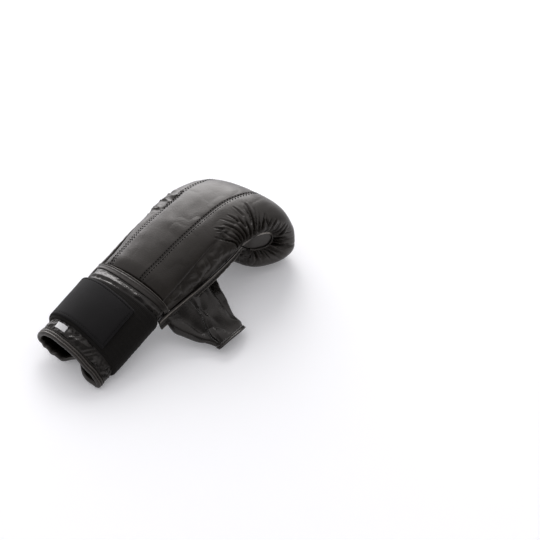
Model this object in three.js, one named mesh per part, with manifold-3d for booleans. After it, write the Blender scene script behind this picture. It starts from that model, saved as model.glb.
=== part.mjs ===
// A left-hand leather bag glove, lying palm down as it is put away: a mitt with a thick padded back that
// wraps over the knuckles and the finger ends, gathered round a smooth oval at each side of the fist, with an
// open leather thumb, a grip bar across the palm, a wide elastic wrist band and a soft leather cuff.
// Millimetres. +X runs from the cuff to the knuckles, +Y to the little-finger side, +Z up from the table.
import * as THREE from "three";
import { mergeVertices } from "three/addons/utils/BufferGeometryUtils.js";
import Module from "manifold-3d";

const wasm = await Module();
wasm.setup();

// Overall sizes
const gloveLength = 279; // cuff rim to the front of the knuckles
const fistWidth = 114; // across the knuckles
const fistHeight = 83; // table to the top of the padded back
const wristWidth = 84; // across the cuff under the band

// Walls and gaps
const leather = 2; // palm and cuff leather with its lining
const sideWall = 3; // padded back at its sewn edge
const sewnGap = 0.45; // between two pieces that are sewn together
const seamDip = 1.3; // how deep the back's seams sink in

// Wrist band and its patch
const strapStart = 18; // from the cuff rim
const strapWidth = 66; // on the thumb side
const strapThickness = 2.4;
const strapSkew = 8; // how much narrower it is on the little-finger side
const patchWidth = 49; // along the glove
const patchEdge = 2.5; // from the edge of the band
const patchSlant = 5; // how much wider it is on the little-finger side
const patchThickness = 1.4;

// Edges and trims
const weltReach = 10; // how far the flat sewn edge stands out at the wrist
const weltThickness = 2.4;
const trimWidth = 4;
const trimBow = 4; // how much wider the turned edge is on top of the wrist
const trimHeight = 2.2;
const hemWidth = 6;
const hemInside = 4.2; // the binding's reach inside the cuff
const hemThickness = 1.5;
const tabLength = 15;
const tabWidth = 6;
const tabThickness = 0.8;

// Palm
const gripWidth = 20; // grip bar, along the glove
const gripBulge = 5.5;
const fingerPanelWidth = 14;
const ventDiameter = 2.8;
const ventSpacing = 13;

// Thumb
const thumbReach = 100; // from the glove's middle line to the open tip
const thumbWidth = 39; // flat width of the open tip
const thumbHeight = 12;
const thumbLean = 0.62; // how far the tip's upper lip overhangs the lower one, a share of their distance
const thumbWall = 1.6;
const thumbHemWidth = 4;

// Gathers
const gatherCount = 21; // pleats round each side of the fist
const gatherDepth = 2.2;
const endGatherCount = 17; // pleats along the finger-end seam

const halfWidth = fistWidth / 2;
const padStart = strapStart + strapWidth + 16; // where the padded back begins
const strapEnd = strapStart + strapWidth;

// The padded back is a fan of ribs. Each rib springs from the side seam, crosses the back and comes down to
// the other seam. seamAlong, seamUp: the seam point. topAlong, topUp: the rib's crown. Shares of length and
// height. wide: the rib's half width, tuck: how far its edge is drawn in at the seam, shares of half the fist.
// square: how square the rib's arch is. cavity: the hollow's share of the rib's height.
// indexCut, littleCut: where the two seams of the back cross it, shares of its half width.
const ribs = [
  {
    seamAlong: 0.362, seamUp: 0.44, topAlong: 0.36, topUp: 0.7, wide: 0.785,
    square: 2.1, cavity: 0.66, tuck: 0, indexCut: -0.16, littleCut: 0.76,
  },
  {
    seamAlong: 0.43, seamUp: 0.475, topAlong: 0.438, topUp: 0.78, wide: 0.815,
    square: 2.1, cavity: 0.57, tuck: 0, indexCut: -0.19, littleCut: 0.75,
  },
  {
    seamAlong: 0.503, seamUp: 0.525, topAlong: 0.526, topUp: 0.86, wide: 0.865,
    square: 2.15, cavity: 0.48, tuck: 0.01, indexCut: -0.19, littleCut: 0.72,
  },
  {
    seamAlong: 0.576, seamUp: 0.585, topAlong: 0.617, topUp: 0.92, wide: 0.915,
    square: 2.25, cavity: 0.41, tuck: 0.03, indexCut: -0.19, littleCut: 0.7,
  },
  {
    seamAlong: 0.648, seamUp: 0.64, topAlong: 0.714, topUp: 0.958, wide: 0.97,
    square: 2.35, cavity: 0.34, tuck: 0.08, indexCut: -0.15, littleCut: 0.69,
  },
  {
    seamAlong: 0.717, seamUp: 0.675, topAlong: 0.811, topUp: 0.972, wide: 1,
    square: 2.5, cavity: 0.25, tuck: 0.16, indexCut: -0.12, littleCut: 0.7,
  },
  {
    seamAlong: 0.785, seamUp: 0.669, topAlong: 0.9, topUp: 0.938, wide: 1,
    square: 2.65, cavity: 0.17, tuck: 0.23, indexCut: -0.17, littleCut: 0.71,
  },
  {
    seamAlong: 0.838, seamUp: 0.614, topAlong: 0.953, topUp: 0.785, wide: 1.01,
    square: 2.9, cavity: 0.155, tuck: 0.26, indexCut: -0.15, littleCut: 0.72,
  },
  {
    seamAlong: 0.871, seamUp: 0.52, topAlong: 0.973, topUp: 0.535, wide: 1.02,
    square: 3.1, cavity: 0.155, tuck: 0.27, indexCut: -0.11, littleCut: 0.74,
  },
  {
    seamAlong: 0.878, seamUp: 0.432, topAlong: 0.978, topUp: 0.28, wide: 1.03,
    square: 3.3, cavity: 0.16, tuck: 0.26, indexCut: -0.07, littleCut: 0.76,
  },
  {
    seamAlong: 0.862, seamUp: 0.383, topAlong: 0.962, topUp: 0.08, wide: 1.05,
    square: 3.6, cavity: 0.115, tuck: 0.25, indexCut: -0.03, littleCut: 0.78,
  },
  {
    seamAlong: 0.84, seamUp: 0.365, topAlong: 0.912, topUp: -0.01, wide: 1.04,
    square: 3.6, cavity: 0.104, tuck: 0.23, indexCut: 0, littleCut: 0.78,
  },
  {
    seamAlong: 0.817, seamUp: 0.369, topAlong: 0.845, topUp: -0.02, wide: 0.99,
    square: 3.3, cavity: 0.086, tuck: 0.21, indexCut: 0, littleCut: 0.76,
  },
  {
    seamAlong: 0.8, seamUp: 0.375, topAlong: 0.79, topUp: 0.03, wide: 0.93,
    square: 2.9, cavity: 0.08, tuck: 0.18, indexCut: 0, littleCut: 0.73,
  },
  {
    seamAlong: 0.789, seamUp: 0.393, topAlong: 0.765, topUp: 0.16, wide: 0.87,
    square: 2.5, cavity: 0.11, tuck: 0.15, indexCut: 0, littleCut: 0.7,
  },
  {
    seamAlong: 0.783, seamUp: 0.41, topAlong: 0.768, topUp: 0.3, wide: 0.85,
    square: 2.4, cavity: 0.17, tuck: 0.13, indexCut: 0, littleCut: 0.69,
  },
];
const fistRib = 5; // the rib where the flat edge ends and the oval gusset begins
const turnRib = 8.6; // the rib that points straight ahead
const lastRib = ribs.length - 1;

// Sections of the cuff, square to the glove. at: share of the length. up: height of the side seam, rise and
// drop: upper and lower arch from it, shares of the fist's height. wide: half width, and mid: its middle,
// shares of half the wrist. lean: how much higher the arch is towards the little finger.
const sections = [
  { at: 0, up: 0.155, rise: 0.215, drop: 0.14, wide: 1, mid: -0.06, lean: 0.35 },
  { at: 0.075, up: 0.215, rise: 0.25, drop: 0.19, wide: 1.02, mid: -0.05, lean: 0.25 },
  { at: 0.2, up: 0.315, rise: 0.245, drop: 0.25, wide: 1.03, mid: -0.02, lean: 0.12 },
  { at: 0.3, up: 0.395, rise: 0.212, drop: 0.27, wide: 1.04, mid: 0, lean: 0.06 },
  { at: ribs[0].seamAlong, up: ribs[0].seamUp, rise: 0.19, drop: 0.29, wide: 1.065, mid: 0, lean: 0.03 },
];

// How deep the palm leather hangs below the side seams, a share of the fist's height.
const palmDrops = [
  { at: ribs[0].seamAlong, drop: 0.29 },
  { at: 0.5, drop: 0.255 },
  { at: 0.6, drop: 0.245 },
  { at: 0.68, drop: 0.27 },
  { at: 0.717, drop: 0.285 },
  { at: 0.75, drop: 0.2 },
  { at: 0.783, drop: 0.11 },
];

// How the whole glove is out of true: roll in degrees towards the thumb, side: sideways bend, a share of half
// the fist, and slant: how far the index side leads, a share of the length.
const posture = [
  { at: 0, roll: 9, side: 0, slant: 0 },
  { at: 0.2, roll: 8, side: 0, slant: 0.004 },
  { at: 0.4, roll: 5, side: -0.01, slant: 0.012 },
  { at: 0.7, roll: 1, side: -0.1, slant: 0.014 },
  { at: 1, roll: 0, side: -0.35, slant: 0.03 },
];

const cuffPower = 2.1; // squareness of the cuff's arches
const palmPower = 2.1;

function hermite(a, b, c, d, f) {
  const inSlope = (c - a) / 2;
  const outSlope = (d - b) / 2;
  const square = 3 * (c - b) - 2 * inSlope - outSlope;
  const cube = 2 * (b - c) + inSlope + outSlope;
  return b + f * (inSlope + f * (square + f * cube));
}

// A column of a table, read at a fractional row.
function readRow(table, column, row) {
  const last = table.length - 1;
  const held = Math.min(Math.max(row, 0), last);
  const i = Math.min(Math.floor(held), last - 1);
  const pick = (k) => table[Math.min(Math.max(k, 0), last)][column];
  return hermite(pick(i - 1), pick(i), pick(i + 1), pick(i + 2), held - i);
}

// A column of a table whose rows are placed by their column "at".
function readAt(table, column, at) {
  let i = 0;
  while (i < table.length - 2 && at > table[i + 1].at) i += 1;
  const step = table[i + 1].at - table[i].at;
  return readRow(table, column, i + (at - table[i].at) / step);
}

const smooth = (low, high, v) => {
  const f = Math.min(Math.max((v - low) / (high - low), 0), 1);
  return f * f * (3 - 2 * f);
};
const power = (v, n) => Math.sign(v) * Math.pow(Math.abs(v), 2 / n);
const radians = (degrees) => (degrees * Math.PI) / 180;

// The rib whose seam point lies at x, between the wrist and the turn of the fist.
function seamRow(x) {
  let low = 0;
  let high = turnRib;
  for (let i = 0; i < 20; i += 1) {
    const middle = (low + high) / 2;
    if (readRow(ribs, "seamAlong", middle) * gloveLength < x) low = middle;
    else high = middle;
  }
  return low;
}

const seamStart = ribs[0].seamAlong * gloveLength;

function seamHeight(x) {
  if (x < seamStart) return readAt(sections, "up", x / gloveLength) * fistHeight;
  return readRow(ribs, "seamUp", seamRow(x)) * fistHeight;
}

// Puts a point of the straight glove where the real one lies. Leather that would reach through the table lies
// flat on it; inside is how far the point is within the outermost layer.
function place(x, y, z, inside = 0) {
  const at = x / gloveLength;
  const roll = radians(readAt(posture, "roll", at));
  const pivot = seamHeight(x);
  const rolledY = y * Math.cos(roll) - (z - pivot) * Math.sin(roll);
  const rolledZ = pivot + y * Math.sin(roll) + (z - pivot) * Math.cos(roll);
  const ahead = (-readAt(posture, "slant", at) * gloveLength * y) / halfWidth;
  const settled = Math.max(rolledZ, inside);
  return new THREE.Vector3(x + ahead, rolledY + readAt(posture, "side", at) * halfWidth, settled);
}

// A closed solid through rings of the same number of points. A closed path has no end caps.
function loft(rings, closedPath = false) {
  const count = rings[0].length;
  const positions = rings.flat().flatMap((p) => [p.x, p.y, p.z]);
  const index = [];
  const steps = closedPath ? rings.length : rings.length - 1;
  for (let i = 0; i < steps; i += 1) {
    const next = (i + 1) % rings.length;
    for (let j = 0; j < count; j += 1) {
      const k = (j + 1) % count;
      const a = i * count + j;
      const b = i * count + k;
      const c = next * count + j;
      const d = next * count + k;
      index.push(a, c, b, b, c, d);
    }
  }
  if (!closedPath) {
    for (const end of [0, rings.length - 1]) {
      const faces = capFaces(rings[end]);
      for (const [a, b, c] of faces) {
        const base = end * count;
        if (end === 0) index.push(base + a, base + b, base + c);
        else index.push(base + a, base + c, base + b);
      }
    }
  }
  return outward(positions, index);
}

// Triangles across one ring, in the order of its points.
function capFaces(ring) {
  const middle = ring.reduce((sum, p) => sum.add(p), new THREE.Vector3()).divideScalar(ring.length);
  const normal = new THREE.Vector3();
  ring.forEach((p, i) => {
    const q = ring[(i + 1) % ring.length];
    normal.add(p.clone().sub(middle).cross(q.clone().sub(middle)));
  });
  normal.normalize();
  const across = ring[0].clone().sub(middle).normalize();
  const beside = normal.clone().cross(across);
  const flat = ring.map((p) => {
    const from = p.clone().sub(middle);
    return new THREE.Vector2(from.dot(across), from.dot(beside));
  });
  return THREE.ShapeUtils.triangulateShape(flat, []);
}

// A hollow sleeve between outer and inner rings, open at both ends.
function sleeve(outer, inner) {
  const count = outer[0].length;
  const positions = [...outer, ...inner].flat().flatMap((p) => [p.x, p.y, p.z]);
  const index = [];
  const inside = outer.length * count;
  const quad = (a, b, c, d) => index.push(a, b, c, c, b, d);
  const backQuad = (a, b, c, d) => index.push(a, c, b, c, d, b);
  for (let j = 0; j < count; j += 1) {
    const k = (j + 1) % count;
    for (let i = 0; i < outer.length - 1; i += 1) {
      quad(i * count + j, (i + 1) * count + j, i * count + k, (i + 1) * count + k);
      const near = inside + i * count;
      backQuad(near + j, near + count + j, near + k, near + count + k);
    }
    const end = (outer.length - 1) * count;
    quad(inside + j, j, inside + k, k);
    quad(end + j, inside + end + j, end + k, inside + end + k);
  }
  return outward(positions, index);
}

// The geometry with its faces turned to the outside.
function outward(positions, index) {
  let volume = 0;
  const corner = (i) => new THREE.Vector3().fromArray(positions, index[i] * 3);
  for (let i = 0; i < index.length; i += 3) {
    volume += corner(i).dot(corner(i + 1).cross(corner(i + 2)));
  }
  if (volume < 0) index.reverse();
  const geometry = new THREE.BufferGeometry();
  geometry.setAttribute("position", new THREE.Float32BufferAttribute(positions, 3));
  geometry.setIndex(index);
  return geometry;
}

function toManifold(geometry) {
  const bare = new THREE.BufferGeometry();
  bare.setAttribute("position", geometry.getAttribute("position"));
  bare.setIndex(geometry.getIndex());
  const merged = mergeVertices(bare, 1e-4);
  return new wasm.Manifold(
    new wasm.Mesh({
      numProp: 3,
      vertProperties: merged.attributes.position.array,
      triVerts: new Uint32Array(merged.index.array),
    }),
  );
}

function fromManifold(solid) {
  const mesh = solid.getMesh();
  const geometry = new THREE.BufferGeometry();
  geometry.setAttribute("position", new THREE.BufferAttribute(Float32Array.from(mesh.vertProperties), 3));
  geometry.setIndex(new THREE.BufferAttribute(Uint32Array.from(mesh.triVerts), 1));
  return geometry;
}

const range = (count) => Array.from({ length: count }, (_, i) => i / (count - 1));
const between = (low, high, count) => range(count).map((f) => low + (high - low) * f);

// One rib's frame: seam point, direction to the crown, height, half width and tuck.
function ribAt(row) {
  const spot = (along, up) =>
    new THREE.Vector2(readRow(ribs, along, row) * gloveLength, readRow(ribs, up, row) * fistHeight);
  const seam = spot("seamAlong", "seamUp");
  const rise = spot("topAlong", "topUp").sub(seam);
  return {
    seam,
    height: rise.length(),
    up: rise.normalize(),
    wide: readRow(ribs, "wide", row) * halfWidth,
    tuck: readRow(ribs, "tuck", row) * halfWidth,
    cavity: readRow(ribs, "cavity", row),
    square: readRow(ribs, "square", row),
  };
}

// How far the gathers stand out on a rib, by the share of the way up from the seam.
const gatherStart = fistRib - 1.2;

function gather(row, share) {
  const along = smooth(gatherStart, fistRib + 0.4, row) * (1 - smooth(lastRib - 0.9, lastRib, row));
  const wave = Math.cos((2 * Math.PI * gatherCount * (row - gatherStart)) / (lastRib - gatherStart));
  const fade = Math.sin(Math.PI * Math.min(share * 1.6 + 0.12, 1)) * (1 - smooth(0.35, 0.8, share));
  return gatherDepth * along * fade * (wave - 0.3);
}

// A point of the padded back. turn runs from 0 at the index seam to pi at the little-finger seam, depth from
// 0 on the hollow's wall to 1 on the outer leather.
function backPoint(row, turn, depth, dip = 0) {
  const rib = ribAt(row);
  const swell = depth > 0.5 ? 1 : 0;
  const across = power(Math.cos(turn), rib.square);
  const over = power(Math.sin(turn), rib.square);
  const innerHeight = rib.height * rib.cavity;
  const height = swell ? rib.height - dip : innerHeight;
  const wide = swell ? rib.wide : rib.wide - rib.tuck - sideWall;
  const drawn = swell ? rib.tuck * Math.pow(1 - over, 3) : 0;
  const reach = (wide - drawn) * across;
  const crease = swell * creaseDepth(row, over);
  const out = swell ? gather(row, over) : 0;
  const endOut = swell ? endGather(row, turn) : 0;
  const side = Math.sign(across) * (out * Math.abs(across) - crease);
  const h = height * over + out * over + endOut;
  const flat = rib.seam.clone().addScaledVector(rib.up, h);
  return place(flat.x, -(reach + side), flat.y, swell ? 0 : leather);
}

// The soft groove where the padding ends, above the flat edge.
function creaseDepth(row, over) {
  const along = 1 - smooth(fistRib - 1.5, fistRib, row);
  const groove = 2.2 * Math.exp(-Math.pow((over - 0.42) / 0.1, 2));
  const flatter = 1.2 * smooth(0, 0.1, over) * (1 - smooth(0.3, 0.5, over));
  return along * (groove + flatter);
}

// The pleats along the finger-end seam, under the fist.
function endGather(row, turn) {
  const along = smooth(lastRib - 4.2, lastRib - 1.6, row) * (1 - smooth(lastRib - 0.8, lastRib, row));
  const across = smooth(0.35, 0.8, turn) * (1 - smooth(Math.PI - 0.8, Math.PI - 0.35, turn));
  return gatherDepth * 0.8 * along * across * (Math.cos(2 * endGatherCount * turn) - 0.3);
}

// The turn at which a rib reaches a place across the back, with the place a share of the rib's half width.
const turnAcross = (share, square) => Math.acos(-Math.sign(share) * Math.pow(Math.abs(share), square / 2));

// One panel of the padded back between two of its seams, named by their column, or a side seam when none is.
function backPanel(low, high, columns) {
  const gap = sewnGap / halfWidth;
  const rings = backRows.map((row) => {
    const square = readRow(ribs, "square", row);
    const start = low ? turnAcross(readRow(ribs, low, row) + gap, square) : 0;
    const end = high ? turnAcross(readRow(ribs, high, row) - gap, square) : Math.PI;
    const outer = between(start, end, columns).map((turn, i) => {
      const sewn = (i === 0 && low) || (i === columns - 1 && high);
      return backPoint(row, turn, 1, sewn ? seamDip : 0);
    });
    return [...outer, ...between(end, start, 4).map((turn) => backPoint(row, turn, 0))];
  });
  return loft(rings);
}

const wristRows = between(0, gatherStart - 0.5, 6);
const fistRows = between(gatherStart, lastRib, 2 * gatherCount + 1);
const backRows = [...wristRows, ...fistRows];

// The cuff's section at x.
function wristSection(x) {
  const at = x / gloveLength;
  return {
    up: seamHeight(x),
    rise: readAt(sections, "rise", at) * fistHeight,
    drop: readAt(sections, "drop", at) * fistHeight,
    wide: (readAt(sections, "wide", at) * wristWidth) / 2,
    mid: (readAt(sections, "mid", at) * wristWidth) / 2,
    lean: readAt(sections, "lean", at),
  };
}

// The palm leather's section at x, between the side seams. Past the flat edges it runs down to the finger
// end, along the back of the ovals.
function palmSection(x) {
  if (x < seamStart) return wristSection(x);
  const row = Math.min(seamRow(x), fistRib);
  const wide = (readRow(ribs, "wide", row) - readRow(ribs, "tuck", row)) * halfWidth;
  const end = ribs[lastRib];
  const flatEnd = readRow(ribs, "seamAlong", fistRib);
  const past = Math.max((x / gloveLength - flatEnd) / (end.seamAlong - flatEnd), 0);
  return {
    up: readRow(ribs, "seamUp", row) * fistHeight * (1 - past) + end.seamUp * fistHeight * past,
    drop: readAt(palmDrops, "drop", x / gloveLength) * fistHeight,
    wide: wide * (1 - past) + (end.wide - end.tuck) * halfWidth * past,
    mid: 0,
  };
}

// A point round the wrist. turn: 0 at the index seam, pi/2 on the back, pi at the little-finger seam, then
// under. out: distance outside the leather. The fold and ruffles show below the band only.
function wristPoint(x, turn, out, folded = true) {
  const section = wristSection(x);
  const cos = Math.cos(turn);
  const sin = Math.sin(turn);
  const below = sin < 0;
  const n = below ? palmPower : cuffPower;
  const lift = below ? section.drop : section.rise * (1 - section.lean * cos);
  const y = -section.wide * power(cos, n);
  const z = lift * power(sin, n);
  const normal = new THREE.Vector2(y / (section.wide * section.wide), z / (lift * lift)).normalize();
  const fold = folded ? foldDepth(x, turn) : 0;
  const back = folded ? foldSetBack(x, turn) : 0;
  const settle = smooth(hemWidth, strapStart, x);
  const outermost = sewnGap + hemThickness + (strapThickness - hemThickness) * settle;
  const inside = outermost - out;
  return place(x + back, section.mid + y + normal.x * out, section.up + z + normal.y * out + fold, inside);
}

const foldTurn = 1.5 * Math.PI + 0.12; // where the cuff folds in under the palm
const foldHeight = 13;
const foldWidth = 0.17;
const ruffleDepth = 1.1;

function foldDepth(x, turn) {
  const near = 1 - smooth(0, strapStart + 14, x);
  const fold = foldHeight * near * Math.exp(-Math.pow((turn - foldTurn) / foldWidth, 2));
  const fromSide = Math.min(turn - Math.PI, 2 * Math.PI - turn);
  const under = smooth(0.2, 0.7, fromSide);
  const open = 1 - smooth(strapStart - 12, strapStart - 2, x);
  return fold + ruffleDepth * open * under * (1 + Math.cos(turn * 19));
}

function foldSetBack(x, turn) {
  const near = 1 - smooth(0, strapStart, x);
  return 8 * near * Math.exp(-Math.pow((turn - foldTurn) / (2 * foldWidth), 2));
}

const wristTurns = Array.from({ length: 44 }, (_, i) => {
  const f = i / 44;
  return 2 * Math.PI * (f + 0.045 * Math.sin(2 * Math.PI * f));
});

// A place across the band, from its share of the width.
const strapX = (f, turn) => strapStart + f * (strapWidth - (strapSkew * (1 - Math.cos(turn))) / 2);

// The cuff reaches further towards the knuckles on the back than under the palm.
const cuffBackEnd = padStart - sewnGap;
const cuffPalmEnd = strapEnd + 2;
const cuffEnd = (turn) => cuffPalmEnd + (cuffBackEnd - cuffPalmEnd) * smooth(-0.15, 0.45, Math.sin(turn));

function cuffRings(out) {
  const near = [0, hemInside, hemWidth, (hemWidth + strapStart) / 2].map((x) => () => x);
  const far = range(5).map((f) => (turn) => strapX(f, turn));
  return [...near, ...far, cuffEnd].map((x) => wristTurns.map((turn) => wristPoint(x(turn), turn, out)));
}

function cuffGeometry() {
  return sleeve(cuffRings(0), cuffRings(-leather));
}

// The rim's binding, folded over the edge of the cuff.
const hemGap = 1.3 * sewnGap;

function hemGeometry() {
  const legs = [
    { x: hemWidth, out: hemGap },
    { x: hemWidth, out: sewnGap + hemThickness },
    { x: 0, out: sewnGap + hemThickness },
    { x: -sewnGap - hemThickness, out: -leather / 2 },
    { x: 0, out: -leather - sewnGap - hemThickness },
    { x: hemInside, out: -leather - sewnGap - hemThickness },
    { x: hemInside, out: -leather - hemGap },
    { x: -sewnGap, out: -leather - hemGap },
    { x: -sewnGap, out: hemGap },
    { x: hemInside, out: hemGap },
  ];
  const rings = wristTurns.map((turn) => legs.map((leg) => wristPoint(leg.x, turn, leg.out)));
  return loft(rings, true);
}

// The elastic band: a smooth ring round the cuff.
const bandInside = sewnGap;
const bandOutside = sewnGap + strapThickness;

function strapGeometry() {
  const ring = (f, out) => wristTurns.map((turn) => wristPoint(strapX(f, turn), turn, out, false));
  return sleeve(
    range(5).map((f) => ring(f, bandOutside)),
    range(5).map((f) => ring(f, bandInside)),
  );
}

// A thin piece lying on the wrist. x gives its place along the glove from a share and a turn.
function wristPatch(x, turns, outLow, outHigh, alongCount) {
  const shares = range(alongCount);
  const rings = turns.map((turn) => [
    ...shares.map((f) => wristPoint(x(f, turn), turn, outHigh, false)),
    ...[...shares].reverse().map((f) => wristPoint(x(f, turn), turn, outLow, false)),
  ]);
  return loft(rings);
}

const patchFrom = 0.98; // the patch runs over the back and round to the little-finger side
const patchTo = 3.5;

function patchGeometry() {
  const out = bandOutside + sewnGap;
  const turns = wristTurns.filter((turn) => turn > patchFrom && turn < patchTo);
  const width = (turn) => patchWidth + (patchSlant * (1 - Math.cos(turn))) / 2;
  const x = (f, turn) => strapStart + patchEdge + width(turn) * f;
  return wristPatch(x, turns, out, out + patchThickness, 5);
}

function tabGeometry() {
  const start = (hemWidth + strapStart - tabWidth) / 2;
  const middle = 2.12;
  const half = tabLength / wristWidth;
  const turns = between(middle - half, middle + half, 4);
  return wristPatch((f) => start + tabWidth * f, turns, sewnGap, sewnGap + tabThickness, 2);
}

// The turned leather edge where the padded back ends, from side seam to side seam over the back. It rises
// from the cuff towards the padding. along: share of its width from the cuff, up: share of its height.
const trimProfile = [
  { along: 0, up: 0 },
  { along: 0, up: 0.5 },
  { along: 0.25, up: 0.8 },
  { along: 0.8, up: 1.25 },
  { along: 1, up: 1 },
  { along: 1, up: 0 },
];

function trimGeometry() {
  const end = padStart - 2 * sewnGap;
  const rings = between(0.03, Math.PI - 0.03, 19).map((turn) => {
    const width = trimWidth + trimBow * Math.sin(turn);
    const out = (p) => sewnGap + p.up * (trimHeight - sewnGap);
    return trimProfile.map((p) => wristPoint(end - width * (1 - p.along), turn, out(p), false));
  });
  return loft(rings);
}

// A point of the palm side. across runs from 0 at the little-finger seam to 1 at the index seam.
function palmPoint(x, across, out) {
  const section = palmSection(x);
  const turn = Math.PI * (1 + across);
  const wide = section.wide - sewnGap;
  const y = -wide * power(Math.cos(turn), palmPower);
  const z = section.drop * power(Math.sin(turn), palmPower);
  const normal = new THREE.Vector2(y / (wide * wide), z / (section.drop * section.drop)).normalize();
  const pinch = Math.min(1, Math.abs(Math.sin(turn)) * 4);
  return place(x, section.mid + y + normal.x * out * pinch, section.up - sewnGap + z + normal.y * out);
}

const fingerEndX = ribs[lastRib].topAlong * gloveLength - 2 * sewnGap;
const fingerEnd = (across) => {
  const side = 1 - power(Math.sin(Math.PI * across), palmPower);
  return fingerEndX + side * (ribs[lastRib].seamAlong - ribs[lastRib].topAlong) * gloveLength;
};
const gripEnd = fingerEndX - fingerPanelWidth;
const gripStart = gripEnd - gripWidth;
const palmColumns = between(0.012, 0.988, 17);

// Palm-side leather between two places along the glove.
function palmSheet(xStart, xEnd, rows) {
  const inner = [...palmColumns].reverse();
  const rings = between(0, 1, rows).map((f) => {
    const at = (across) => xStart(across) + (xEnd(across) - xStart(across)) * f;
    return [
      ...palmColumns.map((across) => palmPoint(at(across), across, 0)),
      ...inner.map((across) => palmPoint(at(across), across, -leather)),
    ];
  });
  return loft(rings);
}

const palmStart = (across) => cuffEnd(Math.PI * (1 + across)) + sewnGap;

// Five small vent holes, like the five on a die.
function ventHoles() {
  const middleX = (gripStart + padStart) / 2 + 22;
  const middleY = readAt(posture, "side", middleX / gloveLength) * halfWidth + 4;
  const spots = [
    [0, 0],
    [1, 1],
    [1, -1],
    [-1, 1],
    [-1, -1],
  ];
  return spots.map(([a, b]) => {
    const drill = new THREE.CylinderGeometry(ventDiameter / 2, ventDiameter / 2, fistHeight / 2, 8);
    drill.rotateX(Math.PI / 2);
    drill.translate(middleX + (a * ventSpacing) / 2, middleY + (b * ventSpacing) / 2, fistHeight / 4);
    return toManifold(drill);
  });
}

// The grip bar: a padded roll across the palm.
function gripGeometry() {
  const start = gripStart + sewnGap;
  const end = gripEnd - sewnGap;
  const profile = range(6).map((f) => ({
    x: start + (end - start) * f,
    out: gripBulge * Math.sin(Math.PI * Math.min(Math.max(f * 0.9 + 0.05, 0), 1)),
  }));
  const rings = palmColumns.map((across) => {
    const full = smooth(0, 0.12, across) * (1 - smooth(0.88, 1, across));
    return [
      ...profile.map((p) => palmPoint(p.x, across, p.out * full)),
      palmPoint(end, across, -leather),
      palmPoint(start, across, -leather),
    ];
  });
  return loft(rings);
}

// The smooth oval at each side of the fist. side is -1 at the index finger and 1 at the little finger.
function gussetGeometry(side) {
  const rings = range(9).map((f) => {
    const upper = ribAt(fistRib + 0.1 + (turnRib - fistRib - 0.2) * f);
    const lower = ribAt(lastRib - 0.2 - (lastRib - turnRib - 0.3) * f);
    const edge = sewnGap * 1.4;
    const top = upper.seam.clone().addScaledVector(upper.up, -edge);
    const bottom = lower.seam.clone().addScaledVector(lower.up, -edge);
    const yTop = upper.wide - upper.tuck - 0.6;
    const yBottom = lower.wide - lower.tuck - 0.6;
    const corners = [];
    for (const [thick, order] of [
      [0, [0, 0.5, 1]],
      [leather, [1, 0.5, 0]],
    ]) {
      for (const g of order) {
        const hollow = 1.5 * Math.sin(Math.PI * g) * Math.sin(Math.PI * Math.min(f + 0.1, 1));
        const spot = top.clone().lerp(bottom, g);
        corners.push(place(spot.x, side * (yTop + (yBottom - yTop) * g - hollow - thick), spot.y));
      }
    }
    return corners;
  });
  return loft(rings);
}

// The flat edge where back and palm are sewn together, standing out from the side seam.
function weltGeometry(side, grow = 0) {
  const start = strapEnd + 2;
  const end = readRow(ribs, "seamAlong", fistRib) * gloveLength;
  const rings = range(15).map((f) => {
    const x = start + (end - start) * f;
    const section = palmSection(x);
    const reach = weltReach * (1 - 0.62 * smooth(0.35, 1, f)) + 2 * grow;
    const tilt = radians(62 - 18 * f);
    const root = section.wide + sewnGap - grow;
    const along = new THREE.Vector2(Math.cos(tilt), -Math.sin(tilt));
    const thick = new THREE.Vector2(Math.sin(tilt), Math.cos(tilt)).multiplyScalar(weltThickness / 2 + grow);
    const foot = new THREE.Vector2(root + thick.x, section.up - 0.5);
    return [
      foot.clone().add(thick),
      foot.clone().addScaledVector(along, reach * 0.9).add(thick),
      foot.clone().addScaledVector(along, reach),
      foot.clone().addScaledVector(along, reach * 0.9).sub(thick),
      foot.clone().sub(thick),
    ].map((p) => place(x, side * p.x + section.mid, p.y));
  });
  return loft(rings);
}

// The thumb: from inside the palm to the open tip. along: share of the length, reach: share of the thumb's
// reach, up: share of the fist's height, wide and tall: shares of the tip's width and height.
const thumbStations = [
  { along: 0.51, reach: 0.24, up: 0.47, wide: 1.6, tall: 1.7 },
  { along: 0.492, reach: 0.42, up: 0.3, wide: 1.98, tall: 2.1 },
  { along: 0.482, reach: 0.56, up: 0.215, wide: 1.76, tall: 2.15 },
  { along: 0.479, reach: 0.72, up: 0.155, wide: 1.4, tall: 1.85 },
  { along: 0.479, reach: 0.88, up: 0.117, wide: 1.14, tall: 1.35 },
  { along: 0.478, reach: 1, up: 0.09, wide: 1, tall: 1 },
];
const thumbPower = 2.2;
const thumbSides = 24;
const lastStation = thumbStations.length - 1;
const crumpleDepth = 0.7;

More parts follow.
